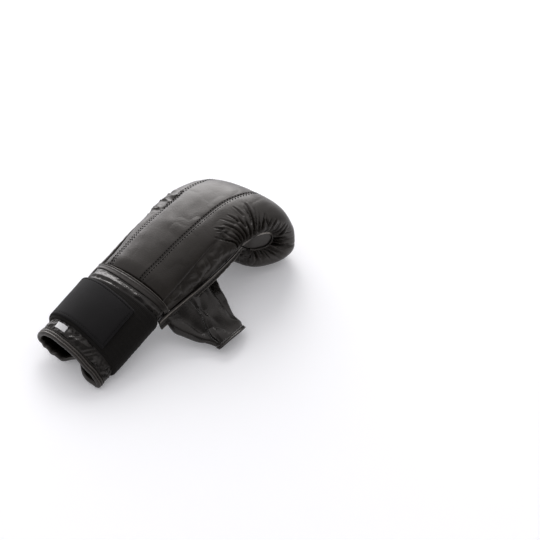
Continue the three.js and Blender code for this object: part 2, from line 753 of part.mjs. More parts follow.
function thumbRing(row, inset, extraReach = 0) {
  const x = readRow(thumbStations, "along", row) * gloveLength;
  const y = -readRow(thumbStations, "reach", row) * thumbReach - extraReach;
  const z = readRow(thumbStations, "up", row) * fistHeight;
  const wide = (readRow(thumbStations, "wide", row) * thumbWidth) / 2 - inset;
  const tall = (readRow(thumbStations, "tall", row) * thumbHeight) / 2 - inset;
  const lift = smooth(1.2, 0, row);
  const lean = thumbLean * smooth(lastStation - 1.6, lastStation, row);
  return Array.from({ length: thumbSides }, (_, i) => {
    const turn = (2 * Math.PI * i) / thumbSides;
    const px = wide * power(Math.cos(turn), thumbPower);
    const pz = tall * power(Math.sin(turn), thumbPower);
    const wrinkle = Math.sin(3 * turn + row * 2.2) * Math.sin(Math.PI * Math.min(row / lastStation, 1));
    const crumple = inset ? 0 : crumpleDepth * wrinkle * Math.max(Math.sin(turn), 0);
    return new THREE.Vector3(x + px, y + pz * (0.25 * lift - lean), z + pz + crumple);
  });
}

const thumbRows = between(0, lastStation, 11);

function thumbBody(inset, extraReach = 0) {
  const rings = thumbRows.map((row, i) => thumbRing(row, inset, i === thumbRows.length - 1 ? extraReach : 0));
  if (inset) rings.unshift(thumbRing(0, inset).map((p) => p.clone().add(new THREE.Vector3(0, 6, 4))));
  return toManifold(loft(rings));
}

// The hand's outer form near the thumb, grown by the sewn gap, which trims the thumb where it is sewn on.
function handForm(grow) {
  const rings = between(strapEnd + 4, gripEnd, 14).map((x) => {
    const section = palmSection(x);
    return Array.from({ length: 36 }, (_, i) => {
      const turn = (2 * Math.PI * i) / 36;
      const below = Math.sin(turn) < 0;
      const lift = (below ? section.drop : fistHeight * 0.45) + grow;
      const n = below ? palmPower : cuffPower;
      const y = -(section.wide + grow) * power(Math.cos(turn), n);
      return place(x, section.mid + y, section.up + lift * power(Math.sin(turn), n));
    });
  });
  return toManifold(loft(rings));
}

function thumbGeometry() {
  const hollow = thumbBody(thumbWall, 1);
  const welt = toManifold(weltGeometry(-1, 0.6));
  const shell = thumbBody(0).subtract(hollow).subtract(handForm(1)).subtract(welt);
  const pieces = shell.decompose().sort((a, b) => b.volume() - a.volume());
  return fromManifold(pieces[0]);
}

// The thumb's turned rim, a flat ring round the open tip.
function thumbHemGeometry() {
  const stand = 0.9;
  const reaches = [sewnGap, sewnGap + 0.8, thumbHemWidth, thumbHemWidth + 0.6];
  const raised = [0, -stand, -stand, 0];
  const outer = reaches.map((reach, i) => thumbRing(lastStation, raised[i], reach));
  const inner = reaches.map((reach) => thumbRing(lastStation, thumbWall, reach));
  return sleeve(outer, inner);
}

function palmGeometry() {
  const sheet = toManifold(palmSheet(palmStart, () => gripStart, 16));
  const holed = ventHoles().reduce((left, drill) => left.subtract(drill), sheet);
  const opened = holed.subtract(thumbBody(thumbWall));
  const pieces = opened.decompose().sort((a, b) => b.volume() - a.volume());
  return fromManifold(pieces[0]);
}

const blackLeather = new THREE.MeshStandardMaterial({ color: 0x2a2725, roughness: 0.42, metalness: 0 });
const thumbLeather = new THREE.MeshStandardMaterial({ color: 0x1d1b1a, roughness: 0.38, metalness: 0 });
const edgeLeather = new THREE.MeshStandardMaterial({ color: 0x24211f, roughness: 0.5, metalness: 0 });
const elastic = new THREE.MeshStandardMaterial({ color: 0x121110, roughness: 0.95, metalness: 0 });
const loopFabric = new THREE.MeshStandardMaterial({ color: 0x141215, roughness: 0.9, metalness: 0 });
const whiteWoven = new THREE.MeshStandardMaterial({ color: 0xe6e6e4, roughness: 0.85, metalness: 0 });

const glove = new THREE.Group();
function add(name, geometry, material) {
  const mesh = new THREE.Mesh(geometry, material);
  mesh.name = name;
  glove.add(mesh);
}

add("back_panel_index", backPanel(null, "indexCut", 9), blackLeather);
add("back_panel_middle", backPanel("indexCut", "littleCut", 5), blackLeather);
add("back_panel_little", backPanel("littleCut", null, 7), blackLeather);
add("side_gusset_index", gussetGeometry(-1), blackLeather);
add("side_gusset_little", gussetGeometry(1), blackLeather);
add("palm_panel", palmGeometry(), blackLeather);
add("grip_bar", gripGeometry(), blackLeather);
add("finger_panel", palmSheet(() => gripEnd, fingerEnd, 4), blackLeather);
add("side_welt_index", weltGeometry(-1), edgeLeather);
add("side_welt_little", weltGeometry(1), edgeLeather);
add("thumb", thumbGeometry(), thumbLeather);
add("thumb_hem", thumbHemGeometry(), thumbLeather);
add("wrist_trim", trimGeometry(), edgeLeather);
add("cuff", cuffGeometry(), thumbLeather);
add("cuff_hem", hemGeometry(), edgeLeather);
add("wrist_strap", strapGeometry(), elastic);
add("strap_patch", patchGeometry(), loopFabric);
add("size_tab", tabGeometry(), whiteWoven);

// The origin is on the table, under the middle of the glove's box.
const box = new THREE.Box3().setFromObject(glove);
const middle = box.getCenter(new THREE.Vector3());
glove.position.set(-middle.x, -middle.y, -box.min.z);

export default glove;
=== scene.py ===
import math
import bpy
import numpy as np
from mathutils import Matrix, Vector


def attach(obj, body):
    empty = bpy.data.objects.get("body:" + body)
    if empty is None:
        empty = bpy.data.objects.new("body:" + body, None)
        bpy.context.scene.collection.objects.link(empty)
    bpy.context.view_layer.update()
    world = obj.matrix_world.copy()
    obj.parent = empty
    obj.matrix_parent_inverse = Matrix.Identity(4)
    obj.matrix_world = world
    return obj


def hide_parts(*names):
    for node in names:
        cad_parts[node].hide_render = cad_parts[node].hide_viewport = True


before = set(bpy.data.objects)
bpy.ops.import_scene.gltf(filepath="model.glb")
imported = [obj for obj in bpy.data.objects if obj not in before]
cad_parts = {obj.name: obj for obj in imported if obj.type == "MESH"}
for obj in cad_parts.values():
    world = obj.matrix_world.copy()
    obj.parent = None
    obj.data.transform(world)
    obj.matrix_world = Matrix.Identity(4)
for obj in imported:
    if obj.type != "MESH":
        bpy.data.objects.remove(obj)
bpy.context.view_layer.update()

# The glove is worked out in millimetres: x from the cuff's rim to the knuckles, y to the little finger, z up.
glove = {
    "length": 279, "fistWidth": 114, "fistHeight": 83, "wristWidth": 84,
    "leather": 2, "sideWall": 3, "gap": 0.45,
}
halfWidth = glove["fistWidth"] / 2
middleOfBox = np.array([-137.186, 26.736, 0.0])  # takes the rim's middle to the frame's origin

# The ribs of the padded back, one value for each of the 16 ribs in every row.
ribTable = {
    "seamAlong": [0.362, 0.43, 0.503, 0.576, 0.648, 0.717, 0.785, 0.838, 0.871, 0.878,
        0.862, 0.84, 0.817, 0.8, 0.789, 0.783],
    "seamUp": [0.44, 0.475, 0.525, 0.585, 0.64, 0.675, 0.669, 0.614, 0.52, 0.432, 0.383,
        0.365, 0.369, 0.375, 0.393, 0.41],
    "topAlong": [0.36, 0.438, 0.526, 0.617, 0.714, 0.811, 0.9, 0.953, 0.973, 0.978,
        0.962, 0.912, 0.845, 0.79, 0.765, 0.768],
    "topUp": [0.7, 0.78, 0.86, 0.92, 0.958, 0.972, 0.938, 0.785, 0.535, 0.28, 0.08,
        -0.01, -0.02, 0.03, 0.16, 0.3],
    "wide": [0.785, 0.815, 0.865, 0.915, 0.97, 1, 1, 1.01, 1.02, 1.03, 1.05, 1.04, 0.99, 0.93, 0.87, 0.85],
    "square": [2.1, 2.1, 2.15, 2.25, 2.35, 2.5, 2.65, 2.9, 3.1, 3.3, 3.6, 3.6, 3.3, 2.9, 2.5, 2.4],
    "cavity": [0.66, 0.57, 0.48, 0.41, 0.34, 0.25, 0.17, 0.155, 0.155, 0.16, 0.115,
        0.104, 0.086, 0.08, 0.11, 0.17],
    "tuck": [0, 0, 0.01, 0.03, 0.08, 0.16, 0.23, 0.26, 0.27, 0.26, 0.25, 0.23, 0.21, 0.18, 0.15, 0.13],
    "indexCut": [-0.16, -0.19, -0.19, -0.19, -0.15, -0.12, -0.17, -0.15, -0.11, -0.07, -0.03, 0, 0, 0, 0, 0],
    "littleCut": [0.76, 0.75, 0.72, 0.7, 0.69, 0.7, 0.71, 0.72, 0.74, 0.76, 0.78, 0.78,
        0.76, 0.73, 0.7, 0.69],
}
fistRib, turnRib, lastRib = 5, 8.6, 15
seamStart = ribTable["seamAlong"][0] * glove["length"]

cuffTable = {
    "at": [0, 0.075, 0.2, 0.3, 0.362],
    "up": [0.155, 0.215, 0.315, 0.395, 0.44],
    "rise": [0.215, 0.25, 0.245, 0.212, 0.19],
    "drop": [0.14, 0.19, 0.25, 0.27, 0.29],
    "wide": [1, 1.02, 1.03, 1.04, 1.065],
    "mid": [-0.06, -0.05, -0.02, 0, 0],
    "lean": [0.35, 0.25, 0.12, 0.06, 0.03],
}
palmTable = {
    "at": [0.362, 0.5, 0.6, 0.68, 0.717, 0.75, 0.783],
    "drop": [0.29, 0.255, 0.245, 0.27, 0.285, 0.2, 0.11],
}
postureTable = {
    "at": [0, 0.2, 0.4, 0.7, 1],
    "roll": [9, 8, 5, 1, 0],
    "side": [0, 0, -0.01, -0.1, -0.35],
    "slant": [0, 0.004, 0.012, 0.014, 0.03],
}


def smoothStep(low, high, v):
    f = np.clip((np.asarray(v, float) - low) / (high - low), 0, 1)
    return f * f * (3 - 2 * f)


def signedPower(v, n):
    return np.sign(v) * np.abs(v) ** (2 / n)


# A point of a rounded section at a turn round it, and the way out from it there.
def sectionPoint(wide, tall, turn, power):
    y, z = -wide * signedPower(np.cos(turn), power), tall * signedPower(np.sin(turn), power)
    ny, nz = y / wide ** 2, z / tall ** 2
    size = np.hypot(ny, nz)
    return y, z, ny / size, nz / size


# A value between the entries of a column, read along a smooth curve.
def readRow(column, row):
    values = np.asarray(column, float)
    last = len(values) - 1
    held = np.clip(row, 0, last)
    i = np.minimum(np.floor(held).astype(int), last - 1)
    a, b, c, d = (values[np.clip(i + k, 0, last)] for k in (-1, 0, 1, 2))
    f = held - i
    inSlope, outSlope = (c - a) / 2, (d - b) / 2
    bend = 3 * (c - b) - 2 * inSlope - outSlope
    return b + f * (inSlope + f * (bend + f * (2 * (b - c) + inSlope + outSlope)))


def readAt(table, column, at):
    places = np.asarray(table["at"], float)
    at = np.asarray(at, float)
    i = np.clip(np.searchsorted(places, at) - 1, 0, len(places) - 2)
    return readRow(table[column], i + (at - places[i]) / (places[i + 1] - places[i]))


def rib(column, row):
    return readRow(ribTable[column], row)


def hump(away, width):
    return np.exp(-(away / width) ** 2)


rowSamples = np.linspace(0, turnRib, 500)
alongSamples = rib("seamAlong", rowSamples) * glove["length"]


def seamRow(x):
    return np.interp(x, alongSamples, rowSamples)


def seamHeight(x):
    atWrist = readAt(cuffTable, "up", np.asarray(x, float) / glove["length"])
    return np.where(np.less(x, seamStart), atWrist, rib("seamUp", seamRow(x))) * glove["fistHeight"]


# The lying glove is rolled towards its thumb and bent sideways, and nothing reaches through the table.
def place(x, y, z, inside=0.0):
    x, y, z = np.broadcast_arrays(x, y, z)
    at = x / glove["length"]
    roll = np.radians(readAt(postureTable, "roll", at))
    pivot = seamHeight(x)
    side = y * np.cos(roll) - (z - pivot) * np.sin(roll) + readAt(postureTable, "side", at) * halfWidth
    high = pivot + y * np.sin(roll) + (z - pivot) * np.cos(roll)
    ahead = -readAt(postureTable, "slant", at) * glove["length"] * y / halfWidth
    return np.stack([x + ahead, side, np.maximum(high, inside)], -1)


# Soft lumps: smoothed random values on a lattice, size is the distance between them.
def lumps(points, size, seed):
    cells = 24
    lattice = np.random.default_rng(seed).uniform(-1, 1, (cells, cells, cells))
    p = points / size
    base = np.floor(p).astype(int)
    f = p - base
    f = f * f * (3 - 2 * f)
    total = 0
    for corner in np.ndindex(2, 2, 2):
        share = np.prod(np.abs(1 - np.array(corner) - f), axis=-1)
        total = total + share * lattice[tuple(np.moveaxis((base + corner) % cells, -1, 0))]
    return total


# Sharp creases between soft swellings, for crumpled leather.
def crumple(points, size, seed):
    return 1 - 2.6 * np.abs(lumps(points, size, seed)) ** 0.75


# Layers of lumps and crumples: kind, height, size, seed, and how much the points are stretched.
def layered(points, layers):
    return sum(height * kind(points * stretch, size, seed) for kind, height, size, seed, stretch in layers)


# Gathers along a seam: phase runs along the seam, away is the distance from it in millimetres.
def gathers(phase, away, look):
    rng = np.random.default_rng(look["seed"])
    count = look["count"]
    spots = np.arange(-1, count + 2) + rng.uniform(-0.24, 0.24, count + 3)
    reach = rng.uniform(look["shortest"], look["longest"], count + 3)
    depth = rng.uniform(0.55, 1.0, count + 3)
    drift = rng.uniform(-1, 1, count + 3) * look["drift"]
    along = phase * count + 0.1 * np.sin(away / 4.5 + phase * count * 1.7)
    total = 0
    for k in range(count + 3):
        fade = smoothStep(1, 0.25, away / reach[k])
        width = look["width"] * (1 - 0.35 * np.clip(away / reach[k], 0, 1))
        valley = np.exp(-(np.abs(along - spots[k] - drift[k] * away / 20) / width) ** 1.35)
        total = np.maximum(total, depth[k] * fade * valley)
    zone = smoothStep(look["longest"] * 1.1, 0.45 * look["longest"], away)
    return look["depth"] * (look["stand"] * zone - total)


# Mesh making

# triangles between two lines of points, which may differ in number
def ladder(a, b, flip):
    faces = []
    i = j = 0
    while i < len(a) - 1 or j < len(b) - 1:
        if j == len(b) - 1 or (i < len(a) - 1 and (i + 1) * (len(b) - 1) <= (j + 1) * (len(a) - 1)):
            faces.append((a[i], a[i + 1], b[j]))
            i += 1
        else:
            faces.append((a[i], b[j + 1], b[j]))
            j += 1
    return [face[::-1] for face in faces] if flip else faces


def gridFaces(rows, columns, wrapColumns=False, wrapRows=False, first=0):
    i = np.arange(rows if wrapRows else rows - 1)[:, None]
    j = np.arange(columns if wrapColumns else columns - 1)[None, :]
    nextI, nextJ = (i + 1) % rows, (j + 1) % columns
    corners = [i * columns + j, nextI * columns + j, nextI * columns + nextJ, i * columns + nextJ]
    return np.stack(np.broadcast_arrays(*corners), -1).reshape(-1, 4) + first


def makeMesh(name, points, faces, edgeHighlight=None, sharp=60):
    points = np.array(points, float)
    faces = [tuple(face) for face in faces]
    triangles = np.array([(f[0], f[k], f[k + 1]) for f in faces for k in range(1, len(f) - 1)])
    a, b, c = (points[triangles[:, k]] for k in range(3))
    if np.einsum("ij,ij->i", a, np.cross(b, c)).sum() < 0:
        faces = [face[::-1] for face in faces]
    points[:, 2] = np.maximum(points[:, 2], 0.0)
    mesh = bpy.data.meshes.new(name)
    mesh.from_pydata(((points + middleOfBox) * 0.001).tolist(), [], faces)
    mesh.polygons.foreach_set("use_smooth", [True] * len(mesh.polygons))
    mesh.set_sharp_from_angle(angle=math.radians(sharp))
    # an optional per-point amount of painted highlight, which the leather reads to lighten its colour
    if edgeHighlight is not None:
        highlightAmount = mesh.attributes.new("edgeHighlight", "FLOAT", "POINT")
        highlightAmount.data.foreach_set("value", np.asarray(edgeHighlight, float).ravel())
    piece = bpy.data.objects.new(name, mesh)
    bpy.context.scene.collection.objects.link(piece)
    return piece


# A closed wall between an outer and an inner grid of points, as a sheet or as a sleeve.
def makeWall(name, outer, inner, sleeve=False, edgeHighlight=None, sharp=60):
    n, m = outer.shape[:2]
    p, q = inner.shape[:2]
    faces = gridFaces(n, m, sleeve).tolist()
    faces += [face[::-1] for face in gridFaces(p, q, sleeve, first=n * m).tolist()]
    out = np.arange(n * m).reshape(n, m)
    ins = np.arange(p * q).reshape(p, q) + n * m
    close = (lambda line: [*line, line[0]]) if sleeve else list
    faces += ladder(close(out[0].tolist()), close(ins[0].tolist()), False)
    faces += ladder(close(out[-1].tolist()), close(ins[-1].tolist()), True)
    if not sleeve:
        faces += ladder(out[:, 0].tolist(), ins[:, 0].tolist(), True)
        faces += ladder(out[:, -1].tolist(), ins[:, -1].tolist(), False)
    points = np.concatenate([outer.reshape(-1, 3), inner.reshape(-1, 3)])
    if edgeHighlight is not None:
        edgeHighlight = np.concatenate([np.ravel(edgeHighlight), np.zeros(p * q)])
    return makeMesh(name, points, faces, edgeHighlight, sharp)


# A solid rod through rings of points, or a closed ring when loop is set.
def makeRod(name, rings, loop=False, edgeHighlight=None, sharp=60):
    n, k = rings.shape[:2]
    faces = gridFaces(n, k, True, loop).tolist()
    points = rings.reshape(-1, 3)
    if edgeHighlight is not None:
        edgeHighlight = np.ravel(np.broadcast_to(edgeHighlight, (n, k)))
    if not loop:
        points = np.concatenate([points, rings[:1].mean(1), rings[-1:].mean(1)])
        for j in range(k):
            faces.append((j, (j + 1) % k, n * k))
            faces.append((n * k - k + (j + 1) % k, n * k - k + j, n * k + 1))
        if edgeHighlight is not None:
            edgeHighlight = np.concatenate([edgeHighlight, [0, 0]])
    return makeMesh(name, points, faces, edgeHighlight, sharp)


def surfaceNormals(grid, wrap=False):
    wide = np.concatenate([grid[:, -1:], grid, grid[:, :1]], 1) if wrap else grid
    normal = np.cross(np.gradient(wide, axis=0), np.gradient(wide, axis=1))
    if wrap:
        normal = normal[:, 1:-1]
    return normal / np.maximum(np.linalg.norm(normal, axis=-1, keepdims=True), 1e-9)


def outwardNormals(grid, inner, wrap=False):
    normal = surfaceNormals(grid, wrap)
    return normal if np.sum(normal * (grid - inner)) > 0 else -normal


# Distances along the rows of a grid from its first column.
def lengthAcross(grid):
    step = np.linalg.norm(np.diff(grid, axis=1), axis=-1)
    return np.concatenate([np.zeros((len(grid), 1)), np.cumsum(step, 1)], 1)


def lengthDown(grid):
    return lengthAcross(grid.transpose(1, 0, 2)).T


# Turns that lie evenly across a surface, from one turn to another, for each row.
def evenTurns(surface, rows, start, end, count):
    samples = 260
    dense = start + (end - start) * smoothStep(0, 1, np.linspace(0, 1, samples))
    dense = np.broadcast_to(dense, (len(rows), samples))
    length = lengthAcross(surface(rows, dense))
    share = np.linspace(0, 1, count)
    return np.stack([np.interp(share * run[-1], run, turns) for run, turns in zip(length, dense)])


threadRings, threadSides = 7, 6
threadPoints = threadRings * threadSides


# Stitches: short rods of thread that arch between their two holes.
def stitchesAlong(rail, normal, look, first):
    run = lengthAcross(rail[None])[0]
    spots = np.arange(look["pitch"] / 2, run[-1] - look["pitch"] / 2, look["pitch"])

    def at(values, spots):
        return np.stack([np.interp(spots, run, values[:, k]) for k in range(3)], -1)

    middle, up = at(rail, spots), at(normal, spots)
    ahead = at(rail, spots + 0.4) - at(rail, spots - 0.4)
    ahead /= np.linalg.norm(ahead, axis=1, keepdims=True)
    up -= ahead * np.sum(up * ahead, 1, keepdims=True)
    up /= np.linalg.norm(up, axis=1, keepdims=True)
    beside = np.cross(ahead, up)
    a = np.linspace(-1, 1, threadRings)[:, None]
    turn = np.linspace(0, 2 * math.pi, threadSides, endpoint=False)[None, :]
    thick = look["radius"] * np.sqrt(np.maximum(1 - (a * 0.97) ** 2, 0.02))
    length = np.broadcast_to(a * look["length"] / 2, (threadRings, threadSides))
    height = thick * np.sin(turn) + look["lift"] * (1 - a * a) - look["sink"]
    sideways = thick * np.cos(turn)
    points = (middle[:, None, None] + ahead[:, None, None] * length[..., None]
              + up[:, None, None] * height[..., None] + beside[:, None, None] * sideways[..., None])
    one = gridFaces(threadRings, threadSides, True)
    ends = [list(range(threadSides)), list(range(threadPoints - 1, threadPoints - threadSides - 1, -1))]
    faces = []
    for s in range(len(spots)):
        start = first + s * threadPoints
        faces += (one + start).tolist()
        faces += [[corner + start for corner in end] for end in ends]
    return points.reshape(-1, 3), faces


def sewStitches(name, rails, look):
    points, faces = [], []
    for rail, normal in rails:
        some, more = stitchesAlong(rail, normal, look, sum(len(p) for p in points))
        points.append(some)
        faces += more
    return makeMesh(name, np.concatenate(points), faces, sharp=180)


# The line on a grid that keeps a distance from the grid's first column, or its last one when far is set,
# or from its first or last row when turned is set.
def railFrom(grid, normal, offset, far=False, turned=False):
    if turned:
        grid, normal = grid.transpose(1, 0, 2), normal.transpose(1, 0, 2)
    if far:
        grid, normal = grid[:, ::-1], normal[:, ::-1]
    run = lengthAcross(grid)

    def read(values):
        rows = zip(run, values)
        return np.array([[np.interp(offset, places, row[:, k]) for k in range(3)] for places, row in rows])

    return read(grid), read(normal)


def dress(piece, slot, finish, *nodes):
    piece.data.materials.append(finish)
    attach(piece, "root")
    if nodes:
        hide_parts(*nodes)
    return piece


# Materials

def newGroup(name, inputs, outputs):
    group = bpy.data.node_groups.new(name, "ShaderNodeTree")
    for label, value in inputs.items():
        socket = group.interface.new_socket(label, in_out="INPUT", socket_type="NodeSocketFloat")
        socket.default_value = value
    for label in outputs:
        group.interface.new_socket(label, in_out="OUTPUT", socket_type="NodeSocketFloat")
    return group, group.nodes.new("NodeGroupInput"), group.nodes.new("NodeGroupOutput")


def setInputs(node, values):
    for key, value in values.items():
        node.inputs[key].default_value = value


def addNode(tree, kind, values=None, **settings):
    node = tree.nodes.new(kind)
    for key, value in settings.items():
        setattr(node, key, value)
    setInputs(node, values or {})
    return node


def mathNode(tree, operation, a, b=None):
    node = addNode(tree, "ShaderNodeMath", operation=operation)
    for socket, value in zip(node.inputs, (a, b)):
        if isinstance(value, bpy.types.NodeSocket):
            tree.links.new(value, socket)
        elif value is not None:
            socket.default_value = value
    return node.outputs[0]


# the sum of some values, each times its share
def addUp(tree, *parts):
    first, *others = [mathNode(tree, "MULTIPLY", value, share) for value, share in parts]
    for other in others:
        first = mathNode(tree, "ADD", first, other)
    return first


# Leather: fine pebbled grain, soft crumpling, and patches that are polished or dull.
def makeLeatherGroup():
    group, given, result = newGroup(
        "leatherGrain",
        {"Grain per metre": 850.0, "Crumple per metre": 120.0, "Patch per metre": 28.0},
        ["Height", "Patches"],
    )
    place3d = addNode(group, "ShaderNodeTexCoord")
    cells = addNode(group, "ShaderNodeTexVoronoi", {"Randomness": 0.9}, feature="SMOOTH_F1")
    creases = addNode(group, "ShaderNodeTexVoronoi", feature="DISTANCE_TO_EDGE")
    crumples = addNode(group, "ShaderNodeTexNoise", {"Detail": 5.0, "Roughness": 0.6, "Distortion": 0.6})
    patches = addNode(group, "ShaderNodeTexNoise", {"Detail": 4.0, "Roughness": 0.6})
    for node in (cells, creases, crumples, patches):
        group.links.new(place3d.outputs["Object"], node.inputs["Vector"])
    group.links.new(given.outputs[0], cells.inputs["Scale"])
    group.links.new(mathNode(group, "MULTIPLY", given.outputs[0], 0.55), creases.inputs["Scale"])
    group.links.new(given.outputs[1], crumples.inputs["Scale"])
    group.links.new(given.outputs[2], patches.inputs["Scale"])
    pores = mathNode(group, "MINIMUM", mathNode(group, "MULTIPLY", creases.outputs["Distance"], 6.0), 1.0)
    pebble = mathNode(group, "SUBTRACT", 1.0, cells.outputs["Distance"])
    height = addUp(group, (pebble, 0.35), (pores, 0.3), (crumples.outputs["Fac"], 0.9))
    group.links.new(height, result.inputs["Height"])
    group.links.new(patches.outputs["Fac"], result.inputs["Patches"])
    return group


# Woven cloth: two sets of threads that cross, with uneven yarn.
def makeWeaveGroup():
    group, given, result = newGroup(
        "threadWeave",
        {"Rows per metre": 700.0, "Ends per metre": 500.0},
        ["Height", "Fuzz"],
    )
    place3d = addNode(group, "ShaderNodeTexCoord")
    axes = addNode(group, "ShaderNodeSeparateXYZ")
    group.links.new(place3d.outputs["Object"], axes.inputs[0])
    acrossPlace = mathNode(group, "ADD", axes.outputs["Y"], axes.outputs["Z"])
    threads = []
    for spot, count in ((axes.outputs["X"], given.outputs[0]), (acrossPlace, given.outputs[1])):
        phase = mathNode(group, "MULTIPLY", mathNode(group, "MULTIPLY", spot, count), 2 * math.pi)
        threads.append(mathNode(group, "SINE", phase))
    rows, ends = threads
    fuzz = addNode(group, "ShaderNodeTexNoise", {"Scale": 900.0, "Detail": 3.0})
    group.links.new(place3d.outputs["Object"], fuzz.inputs["Vector"])
    crossing = mathNode(group, "MULTIPLY", rows, ends)
    height = addUp(group, (rows, 0.5), (crossing, 0.3), (fuzz.outputs["Fac"], 0.6))
    group.links.new(height, result.inputs["Height"])
    group.links.new(fuzz.outputs["Fac"], result.inputs["Fuzz"])
    return group


leatherGroup = makeLeatherGroup()
weaveGroup = makeWeaveGroup()


def newMaterial(name):
    material = bpy.data.materials.new(name)
    material.use_nodes = True
    return material, material.node_tree, material.node_tree.nodes["Principled BSDF"]


def ramp(tree, fac, low, high, start=0.3, end=0.7):
    node = addNode(tree, "ShaderNodeValToRGB")
    node.color_ramp.elements[0].position, node.color_ramp.elements[1].position = start, end
    node.color_ramp.elements[0].color, node.color_ramp.elements[1].color = low, high
    tree.links.new(fac, node.inputs["Fac"])
    return node.outputs["Color"]


def grey(v, warm=0.0):
    return (v * (1 + warm), v, v * (1 - warm), 1)


def raiseSurface(tree, skin, height, strength, distance):
    bump = addNode(tree, "ShaderNodeBump", {"Strength": strength, "Distance": distance})
    tree.links.new(height, bump.inputs["Height"])
    tree.links.new(bump.outputs["Normal"], skin.inputs["Normal"])


def leatherMaterial(name, look):
    material, tree, skin = newMaterial(name)
    grain = addNode(tree, "ShaderNodeGroup", node_tree=leatherGroup)
    for key in ("grain", "crumple", "patch"):
        grain.inputs[key.capitalize() + " per metre"].default_value = look[key]
    tone = ramp(tree, grain.outputs["Patches"], grey(look["dark"], 0.2), grey(look["light"], 0.2))
    # Painted highlight: a per-point amount marked on edges and ridges, times the patches, lightens the base
    # colour towards a pale tone.
    edgeHighlight = addNode(tree, "ShaderNodeAttribute", attribute_name="edgeHighlight")
    edge = addNode(tree, "ShaderNodeMix", data_type="RGBA")
    edge.inputs["B"].default_value = grey(look["highlightTone"], 0.1)
    highlightAmount = mathNode(tree, "MULTIPLY", edgeHighlight.outputs["Fac"], grain.outputs["Patches"])
    tree.links.new(highlightAmount, edge.inputs["Factor"])
    tree.links.new(tone, edge.inputs["A"])
    tree.links.new(edge.outputs["Result"], skin.inputs["Base Color"])
    polish = ramp(tree, grain.outputs["Patches"], grey(look["glossy"]), grey(look["dull"]))
    tree.links.new(polish, skin.inputs["Roughness"])
    raiseSurface(tree, skin, grain.outputs["Height"], look["bump"], 0.0004)
    setInputs(skin, {"Specular IOR Level": look["specular"], "Specular Tint": (1.0, 0.95, 0.915, 1),
                     "Coat Weight": look["coat"], "Coat Roughness": 0.28})
    return material


def clothMaterial(name, look):
    material, tree, skin = newMaterial(name)
    weave = addNode(tree, "ShaderNodeGroup", node_tree=weaveGroup)
    for key in ("rows", "ends"):
        weave.inputs[key.capitalize() + " per metre"].default_value = look[key]
    tree.links.new(ramp(tree, weave.outputs["Fuzz"], look["dark"], look["light"]), skin.inputs["Base Color"])
    polish = ramp(tree, weave.outputs["Fuzz"], grey(look["rough"] - 0.08), grey(look["rough"]))
    tree.links.new(polish, skin.inputs["Roughness"])
    raiseSurface(tree, skin, weave.outputs["Height"], look["bump"], 0.0003)
    setInputs(skin, {"Specular IOR Level": look["specular"], "Sheen Weight": look["sheen"],
                     "Sheen Roughness": 0.5})
    return material


backLeather = leatherMaterial("backLeather", {
    "grain": 820, "crumple": 110, "patch": 26, "dark": 0.011, "light": 0.018, "highlightTone": 0.08,
    "glossy": 0.33, "dull": 0.45, "bump": 0.34, "specular": 0.42, "coat": 0.12})
edgeLeather = leatherMaterial("edgeLeather", {
    "grain": 900, "crumple": 160, "patch": 140, "dark": 0.006, "light": 0.012, "highlightTone": 0.3,
    "glossy": 0.28, "dull": 0.42, "bump": 0.35, "specular": 0.5, "coat": 0.0})
softLeather = leatherMaterial("softLeather", {
    "grain": 780, "crumple": 130, "patch": 45, "dark": 0.003, "light": 0.008, "highlightTone": 0.06,
    "glossy": 0.17, "dull": 0.32, "bump": 0.4, "specular": 0.42, "coat": 0.12})
bandElastic = clothMaterial("bandElastic", {
    "rows": 620, "ends": 380, "dark": grey(0.0042, 0.15), "light": grey(0.0085, 0.15), "rough": 0.95,
    "bump": 0.6, "specular": 0.2, "sheen": 0.05})
patchCloth = clothMaterial("patchCloth", {
    "rows": 1400, "ends": 1400, "dark": (0.0042, 0.0036, 0.004, 1), "light": (0.0075, 0.0066, 0.0072, 1),
    "rough": 0.85, "bump": 0.25, "specular": 0.25, "sheen": 0.03})
tabTape = clothMaterial("tabTape", {
    "rows": 1200, "ends": 1200, "dark": grey(0.7), "light": grey(0.82), "rough": 0.85, "bump": 0.3,
    "specular": 0.3, "sheen": 0.0})
blackThread = clothMaterial("blackThread", {
    "rows": 2200, "ends": 2200, "dark": grey(0.002), "light": grey(0.004), "rough": 0.9, "bump": 0.3,
    "specular": 0.03, "sheen": 0.0})
greyThread = clothMaterial("greyThread", {
    "rows": 2200, "ends": 2200, "dark": grey(0.06), "light": grey(0.14), "rough": 0.7, "bump": 0.3,
    "specular": 0.3, "sheen": 0.0})
print("materials made")


# Padded back: three sewn panels over a fan of ribs
back = {
    "wristRows": 130, "fistRows": 400, "indexColumns": 104, "middleColumns": 84, "littleColumns": 84,
    "seamGroove": 0.35, "stitchOffset": 1.7, "edgeRound": 3.6, "edgeReach": 14,
    "pleatStart": 3.5, "pleatDepth": 6.0, "pleatWidth": 1.0, "looseFrom": 8.5, "looseTo": 10.5,
}
backPadding = [(lumps, 0.5, 34, 1, 1), (lumps, 0.3, 13, 2, 1), (crumple, -0.09, 11, 7, 1)]
stripWrinkles = [(crumple, -1.0, 13, 4, [1.0, 0.9, 0.9]), (crumple, -0.25, 6, 5, 1), (lumps, 0.7, 9, 8, 1)]
